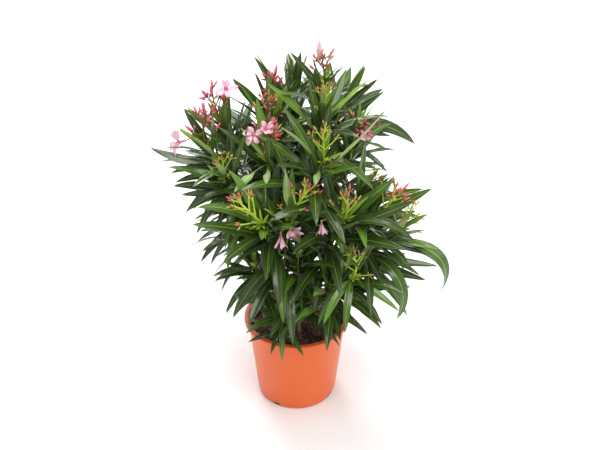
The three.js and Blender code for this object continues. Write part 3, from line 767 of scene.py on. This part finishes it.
def leaf_line(limb, k, j, stance, part=1.0):
    """A leaf's midrib from root to point, the direction of its width, and its length. The midrib sets
    off at its spread from the limb and bends down evenly by its sag, and a leaf that is listed in
    PLACED is then stretched to its point, and arched out where it hangs."""
    turn, lift, shrink = stance
    at, along, side, front = curve_frame(limb.line, whorl_place(limb, k))
    old = min(int(k), len(SPREAD) - 1)
    # finer growth stands at half whorls, and draws by twice their number
    key = (limb.index, int(k) if k == int(k) else int(round(k * 2)), j)
    reaching = REACHING.get((limb.name, k, j)) if part == 1.0 else None
    if reaching:
        way, sag = np.array(reaching[0]) - at, reaching[1]
        heading = unit(unit(way) + sag * UP)
        x, y, rise = heading
        cosine, sine = math.cos(math.radians(turn / 2)), math.sin(math.radians(turn / 2))
        heading = np.array([cosine * x - sine * y, sine * x + cosine * y, rise])
        length = np.linalg.norm(way) * (1 + 0.09 * sag * sag)
    else:
        around = (360 * chance(limb.index, 77) + 360 / LEAVES_IN_WHORL * j + WHORL_TWIST * (int(k) % 2)
                  + (30 if k != int(k) else 0) + jitter(TURN_SCATTER, *key, 1) + turn)
        spread = math.radians(SPREAD[old] + jitter(SPREAD_SCATTER, *key, 2) - lift)
        radial = side * math.cos(math.radians(around)) + front * math.sin(math.radians(around))
        heading = along * math.cos(spread) + radial * math.sin(spread)
        length = LEAF_LENGTH * limb.leaf * LENGTH_SHARE[old] * (1 + jitter(LENGTH_SCATTER, *key, 3))
        sag = SAG[old] * (1 + jitter(SAG_SCATTER, *key, 4))
    length *= shrink * part
    outward = unit(heading - along * np.dot(heading, along))
    gone = np.arange(LEAF_STEPS + 1)[:, None] / LEAF_STEPS
    bent = unit(heading - 2 * sag * gone * UP)
    across = unit(np.cross(bent, along + 0.5 * UP))
    points = np.vstack([np.zeros(3), np.cumsum(bent[:-1], axis=0)]) * length / LEAF_STEPS
    points = points + at + outward * ROOT_OFFSET
    if reaching:
        points = points + gone * (np.array(reaching[0]) - points[-1])
        points = points + ARCH_OUT * max(sag - 0.8, 0) * 4 * gone * (1 - gone) * unit(way * (1, 1, 0))
    return points, across, length


def spindle(root, rings, tip):
    """A body with a point at either end and three corners at each ring between: points and faces."""
    points = [root]
    for point, across, above, wide, deep in rings:
        points += [point - above * deep, point - across * wide / 2, point + across * wide / 2]
    points.append(tip)
    last = len(points) - 1
    faces = [(0, 1 + i, 1 + (i + 1) % 3) for i in range(3)]
    for ring in range(len(rings) - 1):
        for i in range(3):
            a, b = 1 + 3 * ring + i, 1 + 3 * ring + (i + 1) % 3
            faces += [(a, a + 3, b), (b, a + 3, b + 3)]
    faces += [(last - 3 + i, last, last - 3 + (i + 1) % 3) for i in range(3)]
    return np.array(points), faces


def blade_body(line, outline, start):
    """A leaf as a spindle on its midrib: outline gives shares of its length and of its full width."""
    points, across, length = line
    rings = []
    for share, width in outline:
        at = round(share * LEAF_STEPS)
        along = unit(points[at + 1] - points[at - 1])
        rings.append((points[at], across[at], np.cross(across[at], along),
                      width * length * LEAF_WIDTH, length * LEAF_THICKNESS))
    return spindle(points[round(start * LEAF_STEPS)], rings, points[-1])


def straight(start, end):
    """A straight line as a curve, its middle point halfway."""
    return np.stack([start, (start + end) / 2, end])


def tree_of(body):
    """The faces of a body sorted by place, so that it can be tried for contact with another."""
    return BVHTree.FromPolygons(body[0].tolist(), body[1])


class Space:
    """Keeps every body that is in place, so that a new one can be tried against those near it. Bodies
    of one owner join at their roots, so only the outer parts of leaves are tried against each other."""

    def __init__(self):
        self.kept, self.low, self.high = [], [], []

    def add(self, owner, body, outer=None):
        """Puts a body in place."""
        self.kept.append((owner, tree_of(body), tree_of(outer or body)))
        self.low.append(body[0].min(0))
        self.high.append(body[0].max(0))

    def free(self, owner, body, outer=None):
        """Whether a body touches nothing that is in place."""
        tree, own = tree_of(body), outer and tree_of(outer)
        low, high = body[0].min(0), body[0].max(0)
        near = np.all((np.array(self.low) <= high) & (np.array(self.high) >= low), axis=1)
        for i in np.flatnonzero(near):
            other, whole, outer_part = self.kept[i]
            if own and other == owner and own.overlap(outer_part):
                return False
            if other != owner and tree.overlap(whole):
                return False
        return True


def node_body(name):
    """Points in millimetres and faces of one of the frame's nodes."""
    mesh = frame["nodes"][name].data
    points = np.empty(3 * len(mesh.vertices))
    mesh.vertices.foreach_get("co", points)
    return points.reshape(-1, 3) * 1000, [tuple(face.vertices) for face in mesh.polygons]


def bloom_plan(limb):
    """The stalk of a flower head, and the place, heading and size of each bud or open flower on it."""
    at, along, side, front = curve_frame(limb.line, 1.0)
    rise = unit(along + 0.6 * UP)
    top = at + rise * max(limb.bloom - BUD_LENGTH, 8)
    count = 3 + math.floor(limb.bloom / 16 + 0.5)
    heads = []
    for i in range(count):
        last = i == count - 1
        turn = math.radians(BUD_TURN * i + 360 * chance(limb.index, 5))
        radial = side * math.cos(turn) + front * math.sin(turn)
        start = at + (top - at) * (0.9 if last else 0.25 + 0.6 * i / count)
        heading = unit(rise + radial * (0.05 if last else 1.2 - 0.5 * i / count))
        size = 1.0 if last else 0.72 + 0.35 * chance(limb.index, i, 9)
        heads.append((start, heading, size, 0 < i <= limb.open))
    return at - 4 * along, top, heads


def bud_body(start, heading, size):
    """A bud as a spindle, widest at seven tenths of its length."""
    tip = start + heading * BUD_LENGTH * size
    _, _, side, front = curve_frame(straight(start, tip), 0.0)
    width = BUD_WIDTH * math.sqrt(size)
    ring = (start + 0.7 * (tip - start) + front * 0.35 * width, side, front, width, 0.85 * width)
    return spindle(start, [ring], tip)


space = Space()
for name in ["pot", "soil", *wood_nodes]:
    space.add("standing", node_body(name))
for limb in shoots:
    space.add(limb.name, tube(limb.line, limb.bare + 0.45 / tip_speed(limb.line), 1.0,
                              shoot_radius(limb, 1.25), 3, 5))
for limb in shoots:
    if limb.bloom:
        foot, top, heads = bloom_plan(limb)
        stalk = tube(straight(foot, top), 0, 1, lambda share: np.full(len(share), STALK_RADIUS), 3, 2)
        space.add(limb.name, stalk)
        for start, heading, size, is_open in heads:
            body = bud_body(start, heading, size * (1.1 if is_open else 1))
            if space.free(limb.name, body):
                space.add(limb.name, body)

leaves = []


def grow_leaf(limb, k, j, stances=STANCES, part=1.0, must=False):
    """Tries the stances in turn, and keeps the first in which the leaf touches nothing."""
    placed = (limb.name, k, j) in REACHING
    if not must and (placed or (k, j) in FALLEN.get(limb.name, ())):
        return
    outline = YOUNG_OUTLINE if k < 1 else LEAF_OUTLINE
    for stance in stances:
        line = leaf_line(limb, k, j, stance, part)
        blade, outer = blade_body(line, outline, 0), blade_body(line, outline, 0.1)
        if must or space.free(limb.name, blade, outer):
            space.add(limb.name, blade, outer)
            leaves.append((limb, k, j, line))
            return


for name, k, j in REACHING:
    grow_leaf(limbs[name], k, j, must=True)
for k in range(len(SPREAD)):
    for limb in shoots:
        if k < limb.whorls:
            for j in range(LEAVES_IN_WHORL):
                grow_leaf(limb, k, j)
main_leaves = len(leaves)

# Smaller leaves between the whorls and on the older wood below them fill the inside of the crown.
# They try more stances, all round the limb, and get shorter where there is little room.
FILLING_STANCES = [(jitter(60, number, 81), jitter(24, number, 82), 1 - 0.045 * number)
                   for number in range(14)]
for step in np.arange(0, OLD_WHORLS, 0.5):
    for limb in shoots:
        if whorl_place(limb, limb.whorls + step) > (BARE_BOUGH if limb.parent else BARE_STEM):
            for j in range(LEAVES_IN_WHORL):
                grow_leaf(limb, limb.whorls + step, j, FILLING_STANCES, OLD_FILLING)
for limb in shoots:
    for k in np.arange(0.5, limb.whorls - 1):
        for j in range(LEAVES_IN_WHORL):
            grow_leaf(limb, k, j, FILLING_STANCES, TIP_FILLING if k < 1 else SHOOT_FILLING)

# Leaves
# Leathery, narrow blades, dark and satin above with a pale midrib, and pale and matt below. They are
# folded a little along the midrib and rolled down at the edge. Each joins its shoot by a short stalk.
LEAF_ROWS = 17
UPPER = np.array([-1.0, -0.9, -0.5, -0.055, 0.055, 0.5, 0.9, 1.0])
LOWER = np.array([0.9, 0.0, -0.9])
COLUMNS = len(UPPER) + len(LOWER)
BLADE, RIB, UNDER = 0, 1, 2
FOLD, ROLL = 0.42, 0.26
LEAF_MIN_THICKNESS = 0.32
RIB_GROOVE, RIB_BELOW = 0.12, 2.6
POINT_TURN, POINT_DRIFT = 24, 0.07
TWISTED, USUAL_ROLL = 90, 8
RIB_SHARE = 0.06
TO_FRONT = np.array([0.0, -0.846, 0.533])

LEAF_FACES = capped(LEAF_ROWS, COLUMNS, outward=False)
column_kind = np.where(np.arange(COLUMNS) >= len(UPPER) - 1, UNDER, BLADE)
column_kind[3] = RIB
LEAF_SLOTS = np.tile(column_kind, LEAF_ROWS - 1).tolist() + [UNDER, UNDER]


def leaf_shape(line, seed, wave, roll):
    """A blade on its midrib: half its width is a power of a sine of the share gone, over a thin stalk;
    its halves rise by FOLD and roll down by ROLL times the square of the share of the width. Past its
    foot the blade turns about the midrib by roll, which brings its face to the front."""
    points, across, length = line
    gone = np.linspace(0, 1, LEAF_ROWS) ** 0.9
    at = gone * LEAF_STEPS
    middle = np.stack([np.interp(at, np.arange(LEAF_STEPS + 1), points[:, i]) for i in range(3)], 1)
    wide = unit(np.stack([np.interp(at, np.arange(LEAF_STEPS + 1), across[:, i]) for i in range(3)], 1))
    above = unit(np.cross(wide, np.gradient(middle, axis=0)))
    facing = np.sign((wide @ TO_FRONT) * (above @ TO_FRONT))[LEAF_ROWS // 2]
    turn = math.radians(roll) * np.clip(gone / 0.4, 0, 1)[:, None] * facing
    turn = turn + math.radians(jitter(POINT_TURN, seed, 7)) * gone[:, None]
    wide, above = wide * np.cos(turn) - above * np.sin(turn), above * np.cos(turn) + wide * np.sin(turn)
    drift = jitter(POINT_DRIFT, seed, 5) * length if roll == USUAL_ROLL else 0
    if roll == TWISTED:
        along = unit(np.gradient(middle, axis=0))
        edge = unit(TO_FRONT - along * (along @ TO_FRONT)[:, None])
        swing = np.pi / 2 * np.clip((gone - 0.4) / 0.2, 0, 1)[:, None]
        wide = edge * np.cos(swing) - np.cross(along, edge) * np.sin(swing)
        above = np.cross(wide, along)
    middle = middle + wide * (drift * gone ** 2 * (1.4 - 0.7 * gone))[:, None]
    stalk = np.clip((gone - 0.02) / 0.12, 0, 1) ** 1.3
    widest = 0.5 * LEAF_WIDTH * length * (0.92 + 0.2 * chance(seed, 6))
    half = widest * np.sin(np.pi * gone ** 0.86) ** 0.72 * stalk
    if roll == TWISTED:
        half = min(0.1 * length + 1, 6) * np.sin(np.pi * gone ** 1.4) ** 0.8 + 0.1
    half = np.maximum(half, 0.75 * (1 - gone) + 0.12)
    ripple = wave * np.sin(np.pi * 2 * (2.3 * gone + chance(seed, 3))) * np.sin(np.pi * gone)
    side = np.concatenate([UPPER, LOWER])
    lift = FOLD * np.abs(side)[None] - ROLL * side[None] ** 2
    lift = half[:, None] * lift + ripple[:, None] * side[None] * np.sign(np.sin(seed))
    lift[:, 3:5] -= RIB_GROOVE
    below = np.concatenate([np.zeros(len(UPPER)), np.full(len(LOWER), 1.0)])
    below[len(UPPER) + 1] = RIB_BELOW
    lift = lift - below * LEAF_MIN_THICKNESS
    shape = middle[:, None] + wide[:, None] * (half[:, None] * side)[..., None]
    shape = shape + above[:, None] * lift[..., None]
    uv = np.stack(np.broadcast_arrays(gone[:, None] * length / 100, 0.5 + 0.5 * side[None]), 2)
    return shape.reshape(-1, 3), uv.reshape(-1, 2)


def side_veins(sketch):
    """Where a blade is by its length and width, and its side veins as fine ribs across it."""
    flat = sketch.node("ShaderNodeUVMap", {"uv_map": "length_and_width"})
    return flat, sketch.node("ShaderNodeTexWave", {"bands_direction": "X"},
                             {"Vector": flat, "Scale": 22.0, "Distortion": 1.2, "Detail": 1.0}, output=1)


def blade_material(name, dark, light, roughness):
    """Leathery green: cloudy colour, side veins and a satin coat."""
    leaf = Sketch(name)
    cloud = leaf.noise(38.0, 4.0)
    return leaf.finish(base_color=leaf.blend(cloud, dark, light),
                       roughness=leaf.noise(120.0) * 0.14 + roughness,
                       specular_ior_level=0.12, coat_weight=0.9, coat_roughness=0.15,
                       normal=leaf.bump(side_veins(leaf)[1] + cloud * 1.5, 0.16, 0.0005))


def plain_green(name, dark, light, roughness, scale=45.0):
    """Cloudy colour over the finest of grains."""
    return grained(name, dark, light, roughness, (scale, 3.0), (600.0, 4.0, 0.12, 0.0003))


def under_material(name, dark, light, rib):
    """Matt green with fine side veins, and the midrib as a paler stripe down the middle."""
    under = Sketch(name)
    flat, veins = side_veins(under)
    cloud = under.noise(45.0, 3.0)
    across = under.node("ShaderNodeSeparateXYZ", None, {"Vector": flat}, output=1)
    stripe = (RIB_SHARE - (across - 0.5).math("ABSOLUTE")) * 40
    return under.finish(base_color=under.blend(stripe, under.blend(cloud, dark, light), rib),
                        roughness=0.55, specular_ior_level=0.3,
                        normal=under.bump(veins + cloud, 0.2, 0.0005))


dark_rib = plain_green("dark_midrib", (0.15, 0.22, 0.04), (0.22, 0.30, 0.06), 0.45)
midrib = plain_green("leaf_midrib", (0.25, 0.34, 0.06), (0.34, 0.44, 0.09), 0.45)
underside = under_material("leaf_underside", (0.055, 0.108, 0.020), (0.100, 0.170, 0.036),
                           (0.20, 0.29, 0.07))
young_under = under_material("young_underside", (0.27, 0.39, 0.12), (0.42, 0.55, 0.21),
                             (0.50, 0.62, 0.28))
young_rib = plain_green("young_midrib", (0.42, 0.52, 0.14), (0.52, 0.60, 0.20), 0.45)
TINTS = {
    # upper side, midrib and underside of a leaf of each green
    "old": ((0.020, 0.042, 0.007), (0.046, 0.090, 0.013), 0.3, dark_rib, underside),
    "grown": ((0.038, 0.090, 0.009), (0.078, 0.158, 0.017), 0.3, midrib, underside),
    "bright": ((0.085, 0.190, 0.016), (0.155, 0.290, 0.028), 0.33, midrib, underside),
    "pale": ((0.055, 0.125, 0.012), (0.10, 0.20, 0.02), 0.33, young_rib, young_under),
    "young": ((0.19, 0.32, 0.035), (0.32, 0.47, 0.075), 0.4, young_rib, young_under),
}
greens = {tint: [blade_material("leaf_" + tint, *upper), rib, under]
          for tint, (*upper, rib, under) in TINTS.items()}
greens["old_inner"] = greens["old"]
leaf_heaps = {tint: Heap() for tint in greens}


def tint_of(limb, k, j):
    """The green of a leaf, dealt out by its place on the shoot: young at the tip, old at the foot."""
    if k < 1:
        return "young" if chance(limb.index, j, 31) < (0.8 if k else 0.5) else "bright"
    if k >= limb.whorls:
        return "old"
    draw = chance(limb.index, int(2 * k), j, 32) + 0.11 * (3 - k)
    return "young" if draw > 1.1 else "bright" if draw > 0.92 else "grown" if draw > 0.56 else "old"


for number, (limb, k, j, line) in enumerate(leaves):
    _, _, roll, green = REACHING.get((limb.name, k, j), (0, 0, USUAL_ROLL, ""))
    points, uv = leaf_shape(line, number, 0.35 if k < 1 else 0.8, roll)
    tint = green or tint_of(limb, k, j)
    inside = number >= main_leaves and tint == "old"
    leaf_heaps["old_inner" if inside else tint].add(points, LEAF_FACES, LEAF_SLOTS, uv)
for tint, heap in leaf_heaps.items():
    foliage = heap.piece("leaves_" + tint + "_green", greens[tint])
    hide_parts(*mass_nodes)
    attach(foliage, "root")

# Flower heads
# A forking stalk ends most shoots: brownish red where it has ripened and yellow-green where it is
# new. It carries tapering buds in deep pink and coral, each in a small calyx, and a few open flowers.
HEADS = {
    # limb: the way its stalk leans, its reach, its ripeness, and the place of each flower from the
    # shoot's tip, its heading, size and opening
    "crown": ((-0.1, -0.15, 1), 34, "full", [((-8, -6, 52), (-0.02, -0.1, 1), 1.35, 0)]),
    "crown_front": ((0.05, -0.2, 1), 42, "green", []),
    "crown_back": ((0.1, 0, 1), 30, "green", []),
    "crown_left": ((0.0, -0.1, 1), 32, "ripe", []),
    "upper": ((0.0, -0.3, 0.9), 40, "full", []),
    "left": ((-0.25, -0.1, 1), 56, "ripe", [((7, -6, 71), (0.4, -0.5, 0.7), 1.0, 0.75)]),
    "far_left": ((0.0, -0.1, 1), 54, "ripe", [((-42, -22, 18), (-0.7, -0.6, 0.1), 1.25, 0.8)]),
    "left_front": ((-0.1, -0.2, 1), 32, "green", []),
    "centre_left": ((0.25, -0.2, 1), 50, "full", [((-16, -14, 46), (-0.4, -0.7, 0.5), 0.9, 0.9),
                                                  ((2, -14, 56), (0.3, -0.7, 0.5), 0.8, 0.6)]),
    "centre": ((0.0, -0.2, 1), 50, "green", []),
    "front_left": ((-0.65, -0.2, 0.9), 60, "new", []),
    "front": ((0.45, -0.2, 1), 68, "new", [((4, -38, 8), (0.2, -0.85, -0.2), 1.05, 0.7),
                                           ((-14, -36, -10), (0.0, -0.6, -0.8), 0.95, 0.3)]),
    "front_right": ((0.1, -0.2, 1), 42, "new", [((-36, -32, 7), (0.1, -0.6, -0.6), 0.85, 0.35)]),
    "low_front_right": ((0.0, -0.3, 1), 52, "green", []),
    "mid_right": ((0.5, -0.1, 0.9), 36, "green", []),
    "far_right": ((0.55, -0.1, 0.85), 54, "turning", []),
    "right_arch": ((0.4, -0.1, 0.9), 52, "green", []),
    "right": ((0.2, -0.8, 0.5), 34, "ripe", [((6, -30, 10), (0.3, -0.9, 0.2), 0.8, 0.35)]),
    "back": ((0, 0.3, 1), 44, "ripe", []),
    "back_left": ((-0.2, 0.3, 1), 46, "full", [((-10, 20, 46), (-0.3, 0.8, 0.5), 0.9, 0.9)]),
}
RIPENESS = {
    # how likely a bud is pink, or else coral, rather than green, how long it is, the thickness of the
    # stalk, and how much of its reach there is for each side stalk
    "ripe": (0.75, 0.95, 18, 1.15, 12),
    "full": (0.42, 0.7, 14, 1.0, 6),
    "turning": (0.4, 0.85, 15, 1.1, 9),
    "new": (0.2, 0.55, 12, 1.5, 9),
    "green": (0.1, 0.35, 10, 1.15, 9),
}
BUD_ROWS, BUD_SIDES = 8, 6
PETAL_ROWS, PETAL_COLUMNS = 7, 5
PETAL_LENGTH = 16.0
PETAL_WIDTH = 12.0
THROAT_LENGTH = 11.0
PETAL_COUNT, BRACT_COUNT = 5, 7


def bud_shape(start, heading, length, width, seed):
    """A bud turned about its own axis: its radius is a skewed sine of the share gone, with folds that
    wind round it towards the point."""
    _, _, side, front = curve_frame(straight(start, start + heading * length), 0.0)
    gone = np.linspace(0, 1, BUD_ROWS)
    radius = 0.5 * width * np.sin(np.pi * (0.1 + 0.87 * gone) ** 0.9) ** 0.9
    turn = round_steps(BUD_SIDES) + seed + 1.4 * gone[:, None]
    around = side * np.cos(turn)[..., None] + front * np.sin(turn)[..., None]
    points = (start + heading * (length * gone)[:, None])[:, None] + radius[:, None, None] * around
    slots = (np.repeat(np.arange(BUD_ROWS - 1), BUD_SIDES) < 2).astype(int).tolist() + [1, 0]
    return points.reshape(-1, 3), capped(BUD_ROWS, BUD_SIDES), slots


def petal_shape(centre, heading, turn, size, opening):
    """A petal: it widens to a skewed round end, leans out from the throat by opening radians and more
    towards its end, is cupped across its width, and drifts to one side as the petals of a whirl do.
    Its lower face lies a little under its upper one, and a rim joins them."""
    _, _, side, front = curve_frame(straight(centre, centre + heading), 0.0)
    out = side * math.cos(turn) + front * math.sin(turn)
    wide = np.cross(heading, out)
    gone, across = np.broadcast_arrays(np.linspace(0, 1, PETAL_ROWS)[:, None],
                                       np.linspace(-1, 1, PETAL_COLUMNS))
    widening = 0.25 + 0.75 * np.sin(np.pi * 0.5 * np.clip(gone * 1.3, 0, 1)) ** 1.4
    rounding = np.sqrt(np.clip(1.06 - np.clip((gone - 0.65) / 0.37, 0, 1) ** 2, 0.05, 1))
    half = 0.5 * PETAL_WIDTH * size * widening * rounding
    half = half * (0.45 + 0.55 * min(1, opening / 0.6))
    bend = opening * (0.6 + 1.0 * gone)
    radial = PETAL_LENGTH * size * gone * np.sin(bend) + 2.6 * size
    cup = size * (2.4 * across ** 2 * gone + 1.8 * across * gone)
    height = PETAL_LENGTH * size * gone * np.cos(bend) + cup
    top = (centre + out * radial[..., None] + heading * height[..., None]
           + wide * (half * across + 2.4 * size * gone ** 2)[..., None])
    low = top - (heading * np.sin(bend)[..., None] - out * np.cos(bend)[..., None]) * 0.3
    points = np.vstack([top.reshape(-1, 3), low.reshape(-1, 3)])
    grid = np.arange(gone.size).reshape(gone.shape)
    count = grid.size
    upper = np.stack([grid[:-1, :-1], grid[1:, :-1], grid[1:, 1:], grid[:-1, 1:]], 2).reshape(-1, 4)
    border = np.concatenate([grid[0, :-1], grid[:-1, -1], grid[-1, :0:-1], grid[:0:-1, 0]])
    following = np.roll(border, -1)
    rim = np.stack([border, following, following + count, border + count], 1)
    return points, np.vstack([upper, upper[:, ::-1] + count, rim]).tolist()


def leaning(heading, angle, lean):
    """A direction leaning off a heading by lean, turned about it by angle."""
    _, _, side, front = curve_frame(straight(np.zeros(3), heading), 0.0)
    out = side * math.cos(angle) + front * math.sin(angle)
    return unit(heading * math.cos(lean) + out * math.sin(lean))


red_stalks, green_stalks, petals, throats = Heap(), Heap(), Heap(), Heap()
buds = {"pink": Heap(), "coral": Heap(), "green": Heap()}


def add_stalk(heap, line, thick, thin, sides=5, rings=6):
    """A stalk along a curve, its radius an even taper from thick to thin."""
    heap.add(*tube(line, 0, 1, lambda share: thick + (thin - thick) * share, sides, rings))


def add_bud(start, heading, length, ripeness, *key):
    """A bud whose colour is drawn by ripeness, its width a seeded share of its length."""
    pink, coral, *_ = RIPENESS[ripeness]
    draw = chance(*key, 51)
    kind = "pink" if draw < pink else "coral" if draw < coral else "green"
    width = length * (0.24 + 0.07 * chance(*key, 52))
    buds[kind].add(*bud_shape(start, heading, length, width, key[-1]))


def add_spray(heap, start, heading, reach, ripeness, *key):
    """A side stalk that forks into a middle bud and two or three smaller ones on short stalks."""
    end = start + heading * reach + 0.12 * reach * UP
    _, _, length, thick, _ = RIPENESS[ripeness]
    add_stalk(heap, np.stack([start, start + heading * 0.6 * reach, end]), thick, 0.75 * thick)
    way = unit(heading + 0.3 * UP)
    add_bud(end - way, way, length * (0.8 + 0.4 * chance(*key, 61)), ripeness, *key, 0)
    for fork in range(2 + (chance(*key, 62) < 0.6)):
        angle = 2 * math.pi * (chance(*key, 63) + fork / 3)
        out = leaning(way, angle, 0.6 + 0.3 * chance(*key, fork, 64))
        neck = end + out * (2 + 4 * chance(*key, fork, 65)) - way * (1 + 3 * fork)
        add_stalk(heap, straight(end - way * (2 + 3 * fork), neck), 0.6, 0.5, 5, 3)
        short = length * (0.45 + 0.4 * chance(*key, fork, 66))
        add_bud(neck - out * 0.6, out, short, ripeness, *key, fork + 1)


def add_flower(heap, start, place, heading, size, opening, seed):
    """An open flower on its stalk: a calyx and tube, a flared throat with a fringe, and five petals."""
    heading = unit(np.array(heading, dtype=float))
    foot = place - heading * THROAT_LENGTH * size
    middle = (start + foot) / 2 + (foot - start)[2] * 0.2 * UP
    add_stalk(heap, np.stack([start, middle, foot + heading]), 0.9, 0.9)
    buds["green"].add(*bud_shape(foot - heading * 2, heading, 7, 3.2, seed))
    if not opening:
        petals.add(*bud_shape(foot, heading, 26 * size, 7 * size, seed)[:2])
        return
    throats.add(*tube(straight(foot, place), 0, 1, lambda share: size * (1.2 + 2.2 * share ** 2), 8, 6))
    for fringe in range(PETAL_COUNT):
        out = leaning(heading, 1.3 * fringe, 0.5)
        add_stalk(throats, straight(place - heading, place + out * 5 * size), 0.6, 0.15, 5, 3)
    for petal in range(PETAL_COUNT):
        spread = opening * (0.6 + 0.8 * chance(seed, petal, 71))
        turn = 2 * math.pi * petal / PETAL_COUNT + seed + jitter(0.25, seed, petal, 72)
        large = size * (0.8 + 0.35 * chance(seed, petal, 73))
        petals.add(*petal_shape(place - heading * 1.5, heading, turn, large, spread))


for limb in shoots:
    head = HEADS.get(limb.name)
    if not head:
        continue
    lean, reach, ripeness, flowers = head
    _, _, _, thick, spacing = RIPENESS[ripeness]
    tip, along, _, _ = curve_frame(limb.line, 1.0)
    heap = red_stalks if ripeness in ("ripe", "full") else green_stalks
    lean = unit(np.array(lean, dtype=float))
    middle = tip + 0.45 * reach * unit(along + 0.3 * lean)
    rachis = np.stack([tip - 3 * along, middle, tip + reach * lean])
    add_stalk(heap, rachis, 2 * thick, thick, 7, 12)
    sprays = 3 + int(reach / spacing)
    for number in range(sprays):
        share = 0.22 + 0.74 * (number / (sprays - 1)) ** 0.8
        start, axis, _, _ = curve_frame(rachis, share)
        turn = 2.4 * number + 6 * chance(limb.index, 55)
        way = leaning(axis, turn, 1.05 - 0.55 * share)
        long = (10 + reach * (0.5 - 0.4 * share)) * (0.75 + 0.5 * chance(limb.index, number, 56))
        add_spray(heap, start, way, long, ripeness, limb.index, number)
    add_spray(heap, rachis[2] - lean, lean, 5, ripeness, limb.index, 99)
    for number, (place, heading, size, opening) in enumerate(flowers):
        start = curve_frame(rachis, 0.55)[0] if place[2] > 0 else tip
        add_flower(heap, start, tip + np.array(place, dtype=float), heading, size, opening,
                   3 * limb.index + number)

# a tuft of narrow bracts where the stalk of each head leaves its shoot
for limb in shoots:
    tip, along, _, _ = curve_frame(limb.line, 1.0)
    for number in range(BRACT_COUNT):
        way = leaning(along, 2.4 * number, 0.5 + 0.25 * chance(limb.index, number, 57))
        fresh = 1.5 if HEADS.get(limb.name, (0, 0, ""))[2] == "new" else 1.0
        length = (12 + 10 * chance(limb.index, number, 58)) * math.sqrt(limb.leaf) * fresh
        green_stalks.add(*bud_shape(tip - along * (1 + number), way, length, 0.16 * length, number)[:2])

calyx = plain_green("calyx", (0.22, 0.07, 0.04), (0.26, 0.17, 0.05), 0.55)
for name, heap, *finishes in (
        ("red_flower_stalks", red_stalks,
         plain_green("red_flower_stalk", (0.17, 0.065, 0.025), (0.30, 0.22, 0.05), 0.5)),
        ("green_flower_stalks", green_stalks,
         plain_green("green_flower_stalk", (0.38, 0.56, 0.025), (0.56, 0.70, 0.065), 0.45)),
        ("pink_buds", buds["pink"],
         plain_green("pink_bud", (0.58, 0.02, 0.085), (0.90, 0.26, 0.37), 0.4, 150.0), calyx),
        ("coral_buds", buds["coral"],
         plain_green("coral_bud", (0.50, 0.04, 0.045), (0.80, 0.25, 0.14), 0.4, 150.0), calyx),
        ("green_buds", buds["green"],
         plain_green("green_bud", (0.36, 0.42, 0.05), (0.50, 0.40, 0.09), 0.45), calyx),
        ("petals", petals,
         grained("petal_silk", (0.82, 0.31, 0.46), (0.96, 0.68, 0.80), 0.55, (110.0, 4.0),
                 (420.0, 3.0, 0.2, 0.0004), sheen_weight=0.1)),
        ("flower_throats", throats,
         plain_green("throat_pink", (0.62, 0.14, 0.22), (0.78, 0.30, 0.36), 0.5))):
    blossom = heap.piece(name, finishes)
    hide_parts(*mass_nodes)
    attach(blossom, "root")
